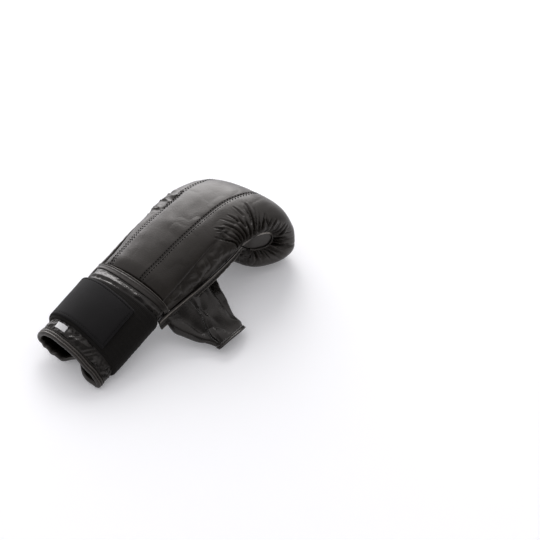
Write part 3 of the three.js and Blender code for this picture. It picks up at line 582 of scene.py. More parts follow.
# The long pleats above the index side's oval: strength, then rib and turn where each starts, bends and ends.
longPleats = [
    (1.0, (5.2, 0.0), (5.05, 0.65), (5.3, 1.3)),
    (0.9, (5.0, 0.0), (4.8, 0.7), (4.85, 1.0)),
    (0.45, (4.95, 0.7), (5.05, 0.95), (5.1, 1.2)),
    (0.95, (4.9, 0.05), (4.6, 0.6), (4.45, 0.95)),
    (0.45, (4.7, 0.7), (4.65, 0.9), (4.65, 1.1)),
    (0.4, (4.85, 1.0), (4.85, 1.15), (4.85, 1.35)),
    (0.4, (4.55, 0.9), (4.5, 1.1), (4.4, 1.25)),
    (0.8, (4.7, 0.1), (4.35, 0.75), (4.0, 1.1)),
    (0.25, (4.4, 0.9), (4.3, 1.05), (4.1, 1.25)),
    (0.95, (4.6, 0.1), (4.35, 0.5), (4.15, 0.8)),
    (0.8, (4.5, 0.1), (4.25, 0.45), (3.9, 0.8)),
    (0.8, (4.4, 0.1), (4.05, 0.5), (3.45, 0.85)),
    (0.45, (3.95, 0.8), (3.9, 0.85), (3.85, 0.9)),
    (0.4, (3.95, 0.95), (3.8, 1.05), (3.65, 1.15)),
    (0.25, (3.8, 0.95), (3.7, 1.0), (3.6, 1.05)),
    (0.45, (3.7, 0.85), (3.7, 0.9), (3.65, 0.95)),
    (0.35, (3.8, 0.7), (3.7, 0.8), (3.6, 0.85)),
    (0.25, (3.5, 0.85), (3.45, 0.9), (3.4, 0.95)),
    (0.6, (5.5, 0.05), (5.3, 0.55), (5.45, 0.95)),
    (0.55, (5.3, 0.05), (5.15, 0.6), (5.4, 1.1)),
    (1.0, (5.85, 0.0), (5.5, 0.45), (5.65, 0.85)),
    (0.5, (6.15, 0.1), (5.7, 0.55), (5.7, 0.85)),
    (0.85, (6.45, 0.05), (5.95, 0.3), (5.95, 0.6)),
    (0.95, (6.95, 0.0), (6.35, 0.25), (6.25, 0.55)),
    (0.85, (7.45, 0.0), (6.9, 0.2), (6.6, 0.4)),
    (0.8, (7.8, 0.0), (7.25, 0.2), (7.05, 0.4)),
    (0.6, (8.2, 0.05), (7.6, 0.2), (7.3, 0.4)),
    (0.7, (9.1, 0.0), (8.7, 0.05), (8.55, 0.15)),
    (0.6, (9.5, 0.0), (9.2, 0.05), (9.05, 0.1)),
    (0.6, (10.05, 0.0), (9.75, 0.05), (9.45, 0.15)),
]
indexPleats = {
    "seed": 11, "count": 25, "shortest": 17, "longest": 40,
    "drift": 0.5, "width": 0.24, "depth": 3.6, "stand": 0.3,
}
indexTucks = {
    "seed": 12, "count": 47, "shortest": 13, "longest": 34,
    "drift": 0.4, "width": 0.2, "depth": 1.7, "stand": 0.2,
}
littlePleats = {
    "seed": 21, "count": 25, "shortest": 15, "longest": 34,
    "drift": 0.5, "width": 0.24, "depth": 3.4, "stand": 0.3,
}
littleTucks = {
    "seed": 22, "count": 46, "shortest": 5, "longest": 14,
    "drift": 0.3, "width": 0.24, "depth": 1.0, "stand": 0.2,
}
endPleats = {
    "seed": 31, "count": 19, "shortest": 12, "longest": 26,
    "drift": 0.4, "width": 0.22, "depth": 2.8, "stand": 0.3,
}
backStitch = {"pitch": 3.3, "length": 2.1, "radius": 0.62, "lift": 0.2, "sink": 0.12}


def seamSpot(row):
    return [rib("seamAlong", row) * glove["length"], rib("seamUp", row) * glove["fistHeight"]]


def ribPlane(row):
    seam = seamSpot(row)
    crown = [rib("topAlong", row) * glove["length"], rib("topUp", row) * glove["fistHeight"]]
    height = np.hypot(crown[0] - seam[0], crown[1] - seam[1])
    return seam, height, [(crown[0] - seam[0]) / height, (crown[1] - seam[1]) / height]


# where the soft crease along the sides lies, as a share of the way over the back
def creaseLine(row):
    return 0.38 + 0.1 * row


def sideCrease(row, over):
    along = smoothStep(fistRib, fistRib - 1.5, row)
    line = creaseLine(row)
    groove = 2.0 * hump(over - line, 0.11) + 1.5 * np.exp(-np.abs((over - line) / 0.045) ** 1.5)
    return along * (groove + 1.2 * smoothStep(0, 0.1, over) * smoothStep(line + 0.06, line - 0.12, over))


def backPoint(row, turn, outer=True):
    row = np.broadcast_to(row, np.shape(turn))
    seam, height, up = ribPlane(row)
    square = rib("square", row)
    across = signedPower(np.cos(turn), square)
    over = np.abs(np.sin(turn)) ** (2 / square)
    wide = rib("wide", row) * halfWidth
    tuck = rib("tuck", row) * halfWidth
    if outer:
        reach = (wide - tuck * (1 - over) ** 3) * across - np.sign(across) * sideCrease(row, over)
        h = height * over
    else:
        reach = (wide - tuck - glove["sideWall"]) * across
        h = height * rib("cavity", row) * over
    return place(seam[0] + up[0] * h, -reach, seam[1] + up[1] * h, 0 if outer else glove["leather"])


def turnAcross(share, square):
    return np.arccos(-np.sign(share) * np.abs(share) ** (square / 2))


def panelGrid(low, high, columns):
    start = back["pleatStart"] - 0.5
    rows = np.concatenate([np.linspace(0, start, back["wristRows"], endpoint=False),
                           np.linspace(start, lastRib, back["fistRows"])])[:, None]
    square = rib("square", rows)
    gap = 0.3 * glove["gap"] / halfWidth
    first = turnAcross(rib(low, rows) + gap, square) if low else np.zeros_like(rows)
    last = turnAcross(rib(high, rows) - gap, square) if high else np.full_like(rows, math.pi)
    turns = evenTurns(backPoint, rows, first, last, columns)
    innerTurns = first + (last - first) * np.linspace(0, 1, 10)
    return rows, turns, backPoint(rows, turns), backPoint(rows[::5], innerTurns[::5], False)


# how far along the seam each rib starts, as a share of the gathered stretch
pleatRows = np.linspace(back["pleatStart"], lastRib, 600)
pleatRun = lengthAcross(np.stack(seamSpot(pleatRows), -1)[None])[0]
pleatRun /= pleatRun[-1]


# Valleys with soft shoulders along the long pleats, that thin out towards their far ends.
def carvePleats(base):
    valleys = np.zeros(base.shape[:2])
    shoulders = np.zeros(base.shape[:2])
    for strength, *spots in longPleats:
        ribs, turns = (readRow([spot[k] for spot in spots], np.linspace(0, 2, 60)) for k in (0, 1))
        line = backPoint(ribs, turns)
        run = lengthAcross(line[None])[0]
        near = np.nonzero(np.all((base > line.min(0) - 5) & (base < line.max(0) + 5), -1))
        away = np.linalg.norm(base[near][:, None] - line[None], axis=-1)
        at = (run / run[-1])[away.argmin(1)]
        rooted = turns[0] < 0.2
        taper = (1 - at) ** 0.6 * (1 if rooted else np.sqrt(np.clip(at * 4, 0, 1)))
        nearest = away.min(1) / (back["pleatWidth"] * (0.65 + 0.45 * strength) * (1.15 - 0.4 * at))
        valleys[near] = np.maximum(valleys[near], strength * taper * np.exp(-nearest ** 1.15))
        shoulders[near] = np.maximum(shoulders[near], strength * taper * hump(nearest - 2.1, 1.1))
    return back["pleatDepth"] * (0.36 * shoulders * (1 - np.minimum(valleys * 2, 1)) - valleys)


def backRelief(rows, turns, base, low, high):
    across = lengthAcross(base)
    fromFirst, fromLast = across, across[:, -1:] - across
    over = np.abs(np.sin(turns)) ** (2 / rib("square", rows))
    height = layered(base, backPadding)
    # the padding swells between the seams
    for distance, sewn in ((fromFirst, low), (fromLast, high)):
        if sewn:
            height -= back["seamGroove"] * hump(distance, 1) + 0.2 * hump(distance, 4)
            height -= 0.2 * hump(distance - back["stitchOffset"], 0.6)
            height += 0.15 * lumps(base, 6, 3) * hump(distance, 6)
    # the padding rounds down to the wrist
    fromWrist = lengthDown(base)
    rounded = np.clip(1 - fromWrist / back["edgeReach"], 0, 1) ** 2 * np.sqrt(np.sin(turns).clip(0, 1))
    height -= back["edgeRound"] * rounded
    # gathers round the ovals at the two sides of the fist, drawn one by one above the index side's oval
    phase = np.interp(rows, pleatRows, pleatRun)
    start = back["pleatStart"]
    zone = smoothStep(start - 0.1, start + 0.9, rows) * smoothStep(lastRib, lastRib - 0.5, rows)
    loose = 1 if low else smoothStep(back["looseFrom"], back["looseTo"], rows)
    for away, sewn, pleats, tucks in (
            (fromFirst, low, indexPleats, indexTucks), (fromLast, high, littlePleats, littleTucks)):
        if not sewn:
            held = 0.5 + 0.5 * smoothStep(0, 3, away)
            height += held * zone * (loose * gathers(phase, away, pleats) + gathers(phase, away, tucks))
    if low is None:
        height += carvePleats(base)
    # gathers along the finger-end seam
    fromEnd = fromWrist[-1] - fromWrist
    inward = np.clip((turns - 0.35) / 0.6, 0, 1) * np.clip((math.pi - 0.35 - turns) / 0.6, 0, 1)
    ends = smoothStep(lastRib - 4.4, lastRib - 2.6, rows) * inward
    held = 0.3 + 0.7 * smoothStep(0, 3, fromEnd)
    height += ends * held * gathers((base[..., 1] + 60) / 120, fromEnd, endPleats)
    # wrinkled leather between the soft crease and the flat edge
    line = creaseLine(rows)
    strip = smoothStep(0, 0.08, over) * smoothStep(line, line - 0.1, over)
    strip = strip * smoothStep(fistRib - 0.4, fistRib - 1.6, rows)
    height += (1 if low is None else 0.2) * strip * layered(base, stripWrinkles)
    # ruffles towards the little finger
    if high is None:
        ruffle = smoothStep(3.3, 3.6, rows) * smoothStep(5.1, 4.7, rows) * smoothStep(0.95, 0.75, over)
        height += ruffle * crumple(base * [1.2, 0.45, 0.45], 6, 6)
    return height


def makeBackPanel(name, low, high, columns):
    rows, turns, base, inner = panelGrid(low, high, columns)
    under = backPoint(rows, turns, False)
    outer = base + outwardNormals(base, under) * backRelief(rows, turns, base, low, high)[..., None]
    outer[..., 2] = np.maximum(outer[..., 2], 0)
    return makeWall(name, outer, inner), outer, outwardNormals(outer, under)


panelPieces = {}
for name, node, low, high, columns in (
    ("BackPanelIndex", "back_panel_index", None, "indexCut", back["indexColumns"]),
    ("BackPanelMiddle", "back_panel_middle", "indexCut", "littleCut", back["middleColumns"]),
    ("BackPanelLittle", "back_panel_little", "littleCut", None, back["littleColumns"]),
):
    piece, grid, normal = makeBackPanel(name, low, high, columns)
    dress(piece, "black_leather", backLeather, node)
    panelPieces[name] = (grid, normal)

besideSeams = (
    ("BackPanelIndex", True), ("BackPanelMiddle", False),
    ("BackPanelMiddle", True), ("BackPanelLittle", False),
)
rails = [railFrom(*panelPieces[name], back["stitchOffset"], far) for name, far in besideSeams]
dress(sewStitches("BackStitches", rails, backStitch), "black_leather", blackThread)
print("padded back made")


# Smooth ovals at the sides of the fist, with a piped rim
oval = {
    "rows": 70, "columns": 36, "hollow": 1.5, "rimSteps": 80,
    "pipeRadius": 1.1, "pipeOut": 0.8, "pipeRaised": 2.4, "pipeSwell": 0.5,
}


def ovalPoint(side, f, g, thick):
    topRow = fistRib + 0.1 + (turnRib - fistRib - 0.2) * f
    endRow = lastRib - 0.2 - (lastRib - turnRib - 0.3) * f
    (topSeam, _, topUp), (endSeam, _, endUp) = ribPlane(topRow), ribPlane(endRow)
    edge = glove["gap"] * 1.4
    yTop, yEnd = ((rib("wide", row) - rib("tuck", row)) * halfWidth - 0.6 for row in (topRow, endRow))
    x, z = ((topSeam[k] - edge * topUp[k]) * (1 - g) + (endSeam[k] - edge * endUp[k]) * g for k in (0, 1))
    hollow = oval["hollow"] * np.sin(math.pi * g) * np.sin(math.pi * np.minimum(f + 0.1, 1))
    return place(x, side * (yTop + (yEnd - yTop) * g - hollow - thick), z)


def pipeRings(path, radius, lean, sides=10):
    ahead = np.gradient(path, axis=0)
    ahead /= np.linalg.norm(ahead, axis=1, keepdims=True)
    beside = np.cross(ahead, lean)
    beside /= np.linalg.norm(beside, axis=1, keepdims=True)
    over = np.cross(beside, ahead)
    turn = np.linspace(0, 2 * math.pi, sides, endpoint=False)[None, :, None]
    spokes = np.cos(turn) * beside[:, None] + np.sin(turn) * over[:, None]
    return path[:, None] + radius[:, None, None] * spokes


for side, node, name in ((-1, "side_gusset_index", "OvalIndex"), (1, "side_gusset_little", "OvalLittle")):
    f = np.linspace(0, 1, oval["rows"])[:, None]
    g = np.linspace(0, 1, oval["columns"])[None, :]
    f, g = np.broadcast_arrays(f, g)
    outer = ovalPoint(side, f, g, 0)
    outer[..., 1] += side * 0.25 * lumps(outer, 12, 41)
    piece = makeWall(name, outer, ovalPoint(side, f, g, glove["leather"]))
    dress(piece, "black_leather", backLeather, node)
    half = oval["rimSteps"]
    there = np.linspace(0, 1, half)
    rim = np.concatenate([ovalPoint(side, there, 0, 0), ovalPoint(side, there[::-1], 1, 0)])
    steps = np.arange(2 * half)
    raised = np.sin(math.pi * np.minimum(steps / half, 1)) ** 0.5
    rim[:, 1] += side * (oval["pipeOut"] + oval["pipeRaised"] * raised)
    rim[:, 2] += 0.4 * oval["pipeRaised"] * raised
    for _ in range(3):
        rim[1:-1] = (rim[:-2] + rim[1:-1] * 2 + rim[2:]) / 4
    wristHalf = raised * smoothStep(half, half / 2, steps)
    rings = pipeRings(rim, oval["pipeRadius"] + oval["pipeSwell"] * wristHalf, [0, 1.0, 0.02])
    # painted highlight along the piping, strongest where it stands raised along the oval's upper edge
    edgeHighlight = (0.1 + 1.9 * wristHalf)[:, None]
    dress(makeRod(name + "Piping", rings, edgeHighlight=edgeHighlight), "black_leather", edgeLeather)
print("ovals made")


# Leather cuff, its bound rim and the elastic band
cuff = {
    "power": 2.1, "turns": 300, "ruffle": 1.1,
    "foldTurn": 1.5 * math.pi + 0.12, "foldHeight": 13, "foldWidth": 0.17, "foldBack": 8,
    "hemWidth": 6, "hemInside": 4.2, "hemThickness": 1.5,
}
band = {"start": 18, "width": 66, "thickness": 2.4, "skew": 8}
bandStart, bandEnd = band["start"], band["start"] + band["width"]
hem = cuff["hemWidth"]
padStart = bandEnd + 16
cuffPuckers = {
    "seed": 51, "count": 27, "shortest": 5, "longest": 13,
    "drift": 2.6, "width": 0.22, "depth": 1.3, "stand": 0.45,
}
rimPuckers = {
    "seed": 52, "count": 38, "shortest": 3, "longest": 9,
    "drift": 1.8, "width": 0.22, "depth": 0.8, "stand": 0.35,
}
cuffWrinkles = [(crumple, 0.9, 7, 53, [0.9, 0.5, 1]), (crumple, 0.5, 4, 57, [0.5, 1, 1])]


def foldDepth(x, turn):
    fold = cuff["foldHeight"] * hump(turn - cuff["foldTurn"], cuff["foldWidth"])
    under = smoothStep(0.2, 0.7, turn - math.pi) * smoothStep(0.2, 0.7, 2 * math.pi - turn)
    opening = smoothStep(bandStart - 2, bandStart - 12, x)
    ruffles = cuff["ruffle"] * opening * under * (1 + np.cos(turn * 19))
    return fold * smoothStep(bandStart + 14, 0, x) + ruffles


def wristPoint(x, turn, out, folded=True):
    x, turn, out = np.broadcast_arrays(np.asarray(x, float), np.asarray(turn, float), np.asarray(out, float))
    at = x / glove["length"]
    up = seamHeight(x)
    rise, drop = (readAt(cuffTable, column, at) * glove["fistHeight"] for column in ("rise", "drop"))
    wide, mid = (readAt(cuffTable, column, at) * glove["wristWidth"] / 2 for column in ("wide", "mid"))
    lift = np.where(np.sin(turn) < 0, drop, rise * (1 - readAt(cuffTable, "lean", at) * np.cos(turn)))
    y, z, outY, outZ = sectionPoint(wide, lift, turn, cuff["power"])
    settle = smoothStep(hem, bandStart, x)
    outermost = glove["gap"] + cuff["hemThickness"] + (band["thickness"] - cuff["hemThickness"]) * settle
    y, z = mid + y + outY * out, up + z + outZ * out
    if folded:
        z = z + foldDepth(x, turn)
        nearFold = hump(turn - cuff["foldTurn"], 2 * cuff["foldWidth"])
        x = x + cuff["foldBack"] * smoothStep(bandStart, 0, x) * nearFold
    return place(x, y, z, outermost - out)


def bandX(f, turn):
    return bandStart + f * (band["width"] - band["skew"] * (1 - np.cos(turn)) / 2)


def cuffEnd(turn):
    return bandEnd + 2 + (padStart - glove["gap"] - bandEnd - 2) * smoothStep(-0.15, 0.45, np.sin(turn))


share = np.arange(cuff["turns"]) / cuff["turns"]
cuffTurns = 2 * math.pi * (share + 0.045 * np.sin(2 * math.pi * share))


def cuffGrid(out, rowsNear=46, rowsUnder=14, rowsFar=26):
    turn = cuffTurns[None, :]
    near = np.linspace(0, bandStart, rowsNear)[:, None] + 0 * turn
    under = bandX(np.linspace(0, 1, rowsUnder + 2)[1:-1][:, None], turn)
    far = bandX(1, turn) + (cuffEnd(turn) - bandX(1, turn)) * np.linspace(0, 1, rowsFar)[:, None]
    x = np.concatenate([near, under, far])
    turn = np.broadcast_to(turn, x.shape)
    return x, turn, wristPoint(x, turn, out)


x, turn, base = cuffGrid(0)
_, _, lining = cuffGrid(-glove["leather"])
normal = outwardNormals(base, lining, True)
phase = turn / (2 * math.pi)
fromBand = np.maximum(bandStart - x, 0)
fromHem = np.maximum(x - hem, 0)
nearZone = smoothStep(hem - 0.5, hem + 1.5, x) * smoothStep(bandStart, bandStart - 1, x)
height = nearZone * (gathers(phase, fromBand, cuffPuckers) + gathers(phase, fromHem, rimPuckers))
twisted = np.stack([x, 0.7 * x + turn * 34, 0 * x], -1)
height += nearZone * layered(twisted, cuffWrinkles)
pastBand = smoothStep(0, 1.2, x - bandX(1, turn))
toTrim = cuffEnd(turn) - 2 * glove["gap"] - 4 - 4 * np.maximum(np.sin(turn), 0)
ridgeAt = bandX(1, turn) + 0.5 * (toTrim - bandX(1, turn)) + 0.8 * lumps(base, 11, 55)
ridge = hump(x - ridgeAt, 1.7) * (0.8 + 0.4 * lumps(base, 9, 56))
creased = 1.5 * ridge - 0.5 * hump(x - ridgeAt + 3.4, 1.2) + 0.35 * crumple(base, 6, 54)
height += pastBand * creased * smoothStep(toTrim, toTrim - 1.5, x)
height = np.minimum(height, 2.2)
cuffOuter = base + normal * height[..., None]
dress(makeWall("Cuff", cuffOuter, lining[::3], sleeve=True), "soft_leather", softLeather, "cuff")

# the rim's binding: a rounded fold over the cuff's edge
bound = {"seed": 61, "wave": 0.35}
outerReach = glove["gap"] + cuff["hemThickness"]
# its outer side first: place along the cuff, and height as a share of the binding's reach
outside = [
    (hem + 0.15, 0.45), (hem - 0.5, 0.86), (hem - 1.4, 0.55), (hem - 1.9, 0.52), (hem - 2.6, 0.95),
    (3.0, 1.12), (2.1, 1.05), (1.2, 0.78), (0.9, 0.8), (0.0, 1.08), (-0.9, 0.9), (-1.7, 0.2),
]
profile = np.array([
    (hem, 0.1), *((along, outerReach * share) for along, share in outside),
    (-2.0, -1.0), (-1.6, -2.6), (-0.6, -3.6), (0.8, -3.9), (2.6, -3.85), (4.0, -3.7), (4.3, -3.1),
    (cuff["hemInside"], -2.2), (2, -2.1), (-0.25, -2.1), (-0.45, -1), (-0.25, 0.1), (2, 0.1),
])
wave = bound["wave"] * lumps(wristPoint(0, cuffTurns, 0), 7, bound["seed"])[:, None]
rings = wristPoint(profile[:, 0] + wave, cuffTurns[:, None], profile[:, 1])
# painted highlight on two lines of the binding's outer side
hemHighlight = np.where(np.isin(np.arange(len(profile)), (6, 10)), 0.5, 0.0)
dress(makeRod("CuffRim", rings, loop=True, edgeHighlight=hemHighlight, sharp=75), "edge_leather", edgeLeather, "cuff_hem")

rimStitch = {"pitch": 2.9, "length": 2.1, "radius": 0.3, "lift": 0.2, "sink": 0.08}
rails = []
for xAt, outAt in ((4.25, 0.6), (1.05, 0.8)):
    rail = wristPoint(xAt + wave[:, 0], cuffTurns, outerReach * outAt)
    above = wristPoint(xAt + wave[:, 0], cuffTurns, outerReach * outAt + 1)
    rails.append((rail, above - rail))
dress(sewStitches("RimStitches", rails, rimStitch), "edge_leather", blackThread)
print("cuff made")

# elastic band with rounded edges
bandShape = {"rows": 44, "edge": 1.6, "ribbing": 5.2}
f = np.linspace(0, 1, bandShape["rows"])[:, None]
turn = cuffTurns[None, :]
fromEdge = np.minimum(f, 1 - f) * band["width"]
roundOff = 0.9 * (1 - np.sqrt(1 - np.clip(1 - fromEdge / bandShape["edge"], 0, 1) ** 2))
outTop = glove["gap"] + band["thickness"] - roundOff
base = wristPoint(bandX(f, turn), turn, outTop, False)
inner = wristPoint(bandX(f, turn), turn, glove["gap"], False)
normal = outwardNormals(base, inner, True)
height = 0.35 * lumps(base, 26, 71) + 0.12 * np.sin(bandX(f, turn) * 2 * math.pi / bandShape["ribbing"])
bandOuter = base + normal * height[..., None]
dress(makeWall("WristBand", bandOuter, inner[::3], sleeve=True), "elastic", bandElastic, "wrist_strap")

# closing patch, stitched round its border, one corner a little lifted
patch = {
    "from": 0.98, "to": 3.5, "edge": 2.5, "width": 49, "slant": 5, "thickness": 1.4,
    "rows": 110, "columns": 90, "border": 3.0, "lift": 2.6,
}
rows = np.linspace(patch["from"], patch["to"], patch["rows"])[:, None]
columns = np.linspace(0, 1, patch["columns"])[None, :]
patchWidth = patch["width"] + patch["slant"] * (1 - np.cos(rows)) / 2
xPatch = bandStart + patch["edge"] + patchWidth * columns


def patchSurface(out):
    return wristPoint(xPatch, rows, glove["gap"] * 2 + band["thickness"] + out, False)


flat = patchSurface(0)
around = lengthDown(flat)
toSide = np.minimum(around, around[-1:] - around)
toEnd = np.minimum(columns, 1 - columns) * patchWidth
border = np.minimum(toSide, toEnd)
top = patch["thickness"] - 0.8 * np.clip(1 - border / 1.2, 0, 1) ** 2
top += 0.3 * lumps(flat, 18, 81) - 0.3 * hump(border - patch["border"], 0.6)
farCorner = np.exp(-(((around[-1:] - around) / 13) ** 2 + ((1 - columns) * patchWidth / 12) ** 2))
lift = patch["lift"] * farCorner
patchTop, patchUnder = patchSurface(top + lift), patchSurface(lift - 0.1)
dress(makeWall("StrapPatch", patchTop, patchUnder), "loop_fabric", patchCloth, "strap_patch")
patchStitch = {"pitch": 2.6, "length": 1.7, "radius": 0.28, "lift": 0.2, "sink": 0.06}
patchNormal = outwardNormals(patchTop, patchUnder)
rails = []
for turned in (False, True):
    for far in (False, True):
        rail, high = railFrom(patchTop, patchNormal, patch["border"], far, turned)
        rails.append((rail[5:-5], high[5:-5]))
dress(sewStitches("PatchStitches", rails, patchStitch), "loop_fabric", blackThread)

# blank woven tab, caught in the cuff
tab = {"length": 15, "width": 6, "thickness": 0.8, "middle": 2.12}
rows = np.linspace(-1, 1, 30)[:, None]
columns = np.linspace(0, 1, 14)[None, :]
start = (hem + bandStart - tab["width"]) / 2
turnTab = tab["middle"] + rows * tab["length"] / glove["wristWidth"]
raised = 1.0 + 0.5 * (columns - 0.5) ** 2 + 0.25 * np.cos(rows * 2)
upper, lower = (wristPoint(start + tab["width"] * columns, turnTab, raised + thick, False)
                for thick in (tab["thickness"], 0))
dress(makeWall("SizeTab", upper, lower), "white_woven", tabTape, "size_tab")

# turned leather edge where the padding ends: two fine ridges, then a long slope down to the cuff
trim = {"width": 4, "bow": 4, "height": 2.2, "rows": 240, "wave": 0.3}
profile = np.array([
    (0.0, 0.0), (0.0, 0.3), (0.06, 0.42), (0.2, 0.46), (0.4, 0.5), (0.5, 0.54), (0.57, 0.72), (0.62, 0.78),
    (0.67, 0.72), (0.72, 0.6), (0.84, 0.66), (0.9, 1.05), (0.95, 1.16), (1.0, 1.05), (1.0, 0.0),
])
rows = np.linspace(0.03, math.pi - 0.03, trim["rows"])[:, None]
width = trim["width"] + trim["bow"] * np.sin(rows)
wave = trim["wave"] * lumps(wristPoint(padStart, rows[:, 0], 2, False), 12, 91)[:, None]
xs = padStart - 2 * glove["gap"] - (width - wave) * (1 - profile[:, 0])
rings = wristPoint(xs, rows, glove["gap"] + profile[:, 1] * (trim["height"] - glove["gap"]), False)
# painted highlight along the crest of the trim's highest ridge
edgeHighlight = np.where((profile[:, 1] > 1.1) & (profile[:, 0] < 1), 0.9, 0.0)
dress(makeRod("WristTrim", rings, edgeHighlight=edgeHighlight), "edge_leather", edgeLeather, "wrist_trim")
print("band, patch, tab and trim made")


# Palm side
palm = {
    "power": 2.1, "margin": 0.012, "gripWidth": 20, "gripBulge": 5.5, "fingerPanel": 14,
    "ventDiameter": 2.8, "ventSpacing": 13, "ventAhead": 22, "ventAside": 4,
}
fingerEndX = ribTable["topAlong"][-1] * glove["length"] - 2 * glove["gap"]
gripEnd = fingerEndX - palm["fingerPanel"]
gripStart = gripEnd - palm["gripWidth"]


def palmSection(x):
    x = np.asarray(x, float)
    at = x / glove["length"]
    wrist = x < seamStart
    row = np.minimum(seamRow(x), fistRib)
    seamAtFist, seamAtEnd = ribTable["seamAlong"][fistRib], ribTable["seamAlong"][-1]
    past = np.maximum((at - seamAtFist) / (seamAtEnd - seamAtFist), 0)
    wide = (rib("wide", row) - rib("tuck", row)) * halfWidth
    endWide = (ribTable["wide"][-1] - ribTable["tuck"][-1]) * halfWidth
    up = (rib("seamUp", row) * (1 - past) + ribTable["seamUp"][-1] * past) * glove["fistHeight"]
    wristWide = readAt(cuffTable, "wide", at) * glove["wristWidth"] / 2
    drop = np.where(wrist, readAt(cuffTable, "drop", at), readAt(palmTable, "drop", at)) * glove["fistHeight"]
    mid = np.where(wrist, readAt(cuffTable, "mid", at) * glove["wristWidth"] / 2, 0)
    wide = np.where(wrist, wristWide, wide * (1 - past) + endWide * past)
    return np.where(wrist, seamHeight(x), up), drop, wide, mid


def palmPoint(x, across, out):
    x, across, out = np.broadcast_arrays(np.asarray(x, float), across, out)
    up, drop, wide, mid = palmSection(x)
    turn = math.pi * (1 + across)
    y, z, outY, outZ = sectionPoint(wide - glove["gap"], drop, turn, palm["power"])
    pinch = np.minimum(1, np.abs(np.sin(turn)) * 4)
    return place(x, mid + y + outY * out * pinch, up - glove["gap"] + z + outZ * out)


def fingerEnd(across):
    side = 1 - np.sin(math.pi * across) ** (2 / palm["power"])
    return fingerEndX + side * (ribTable["seamAlong"][-1] - ribTable["topAlong"][-1]) * glove["length"]


sheetAcross = np.linspace(palm["margin"], 1 - palm["margin"], 130)[None, :]


def palmSheet(name, startX, endX, rows, relief):
    x = startX + (endX - startX) * np.linspace(0, 1, rows)[:, None]
    base = palmPoint(x, sheetAcross, 0)
    inner = palmPoint(x, sheetAcross, -glove["leather"])
    normal = outwardNormals(base, inner)
    outer = base + normal * relief(x, base)[..., None]
    return makeWall(name, outer, inner[::3, ::3]), outer, normal


def palmRelief(x, base):
    wrinkles = 0.6 * crumple(base * [0.55, 1, 1], 13, 101) + 0.35 * lumps(base, 6, 102)
    nearWrist = smoothStep(padStart + 45, padStart, x)
    sides = smoothStep(0, 0.06, sheetAcross) * smoothStep(1, 0.94, sheetAcross)
    return sides * wrinkles * (0.35 + 0.65 * nearWrist) - hump(x - gripStart, 1.2)


def fingerRelief(x, base):
    seams = hump(x - gripEnd, 1.2) + 0.8 * hump(x - fingerEnd(sheetAcross), 1.5)
    return 0.3 * lumps(base, 16, 111) - seams


wristSeam = cuffEnd(math.pi * (1 + sheetAcross)) + glove["gap"]
palmPanel, palmGrid, palmNormal = palmSheet("PalmPanel", wristSeam, gripStart, 150, palmRelief)
fingerPiece, fingerGrid, fingerNormal = palmSheet(
    "FingerPanel", gripEnd, fingerEnd(sheetAcross), 40, fingerRelief)
dress(fingerPiece, "black_leather", backLeather, "finger_panel")

across = np.linspace(palm["margin"], 1 - palm["margin"], 150)[:, None]
f = np.linspace(0, 1, 26)
full = smoothStep(0, 0.12, across) * smoothStep(1, 0.88, across)
startX, endX = gripStart + glove["gap"], gripEnd - glove["gap"]
out = palm["gripBulge"] * np.sin(math.pi * np.clip(f * 0.94 + 0.03, 0, 1))[None, :] ** 0.85 * full
roll = palmPoint((startX + (endX - startX) * f)[None, :], across, out)
roll[..., 2] += 0.35 * lumps(roll, 9, 121)
under = palmPoint(np.array([endX, startX]), across, -glove["leather"])
gripBar = makeRod("GripBar", np.concatenate([roll, under], 1))
dress(gripBar, "black_leather", backLeather, "grip_bar")

# thumb, an open tube of thin leather
thumb = {
    "reach": 100, "width": 39, "height": 12, "lean": 0.62, "wall": 1.6, "sag": 4, "power": 2.2,
    "rows": 120, "turns": 190,
}
thumbTable = {
    "along": [0.51, 0.492, 0.482, 0.479, 0.479, 0.478],
    "reach": [0.24, 0.42, 0.56, 0.72, 0.88, 1],
    "up": [0.47, 0.3, 0.215, 0.155, 0.117, 0.09],
    "wide": [1.6, 1.98, 1.76, 1.4, 1.14, 1],
    "tall": [1.7, 2.1, 2.15, 1.85, 1.35, 1],
}
tipRow = len(thumbTable["up"]) - 1
# the folds of the thumb's leather: place round the tube at root and tip, width, depth, where each fades
thumbFolds = [
    {"root": 1.05, "tip": 1.35, "width": 0.24, "depth": 2.8, "fade": 4.6},
    {"root": 0.72, "tip": 0.95, "width": 0.1, "depth": -3.0, "fade": 4.2},
    {"root": 0.4, "tip": 0.6, "width": 0.14, "depth": 2.3, "fade": 4.6},
    {"root": 1.4, "tip": 1.72, "width": 0.09, "depth": -2.2, "fade": 4.5},
    {"root": 2.15, "tip": 2.4, "width": 0.26, "depth": -2.8, "fade": 4.8},
    {"root": 2.8, "tip": 2.8, "width": 0.14, "depth": 1.2, "fade": 4.4},
    {"root": 4.2, "tip": 4.5, "width": 0.14, "depth": -1.2, "fade": 4.4},
    {"root": 5.1, "tip": 5.2, "width": 0.14, "depth": -1.2, "fade": 4.4},
]
thumbWrinkles = [
    (lumps, 0.6, 11, 131, 1), (crumple, 0.9, 13, 132, [1, 0.6, 1]), (crumple, -1.1, 17, 133, [1, 0.5, 1]),
]
# the seam down the thumb: place round the tube at rows along it
thumbSeam = {"rows": [1.6, 2.3, 2.95, 3.5, 4.15, 4.75], "turns": [1.72, 1.74, 1.8, 2.08, 2.4, 2.5]}
thumbStitch = {"pitch": 2.4, "length": 1.7, "radius": 0.3, "lift": 0.22, "sink": 0.04}


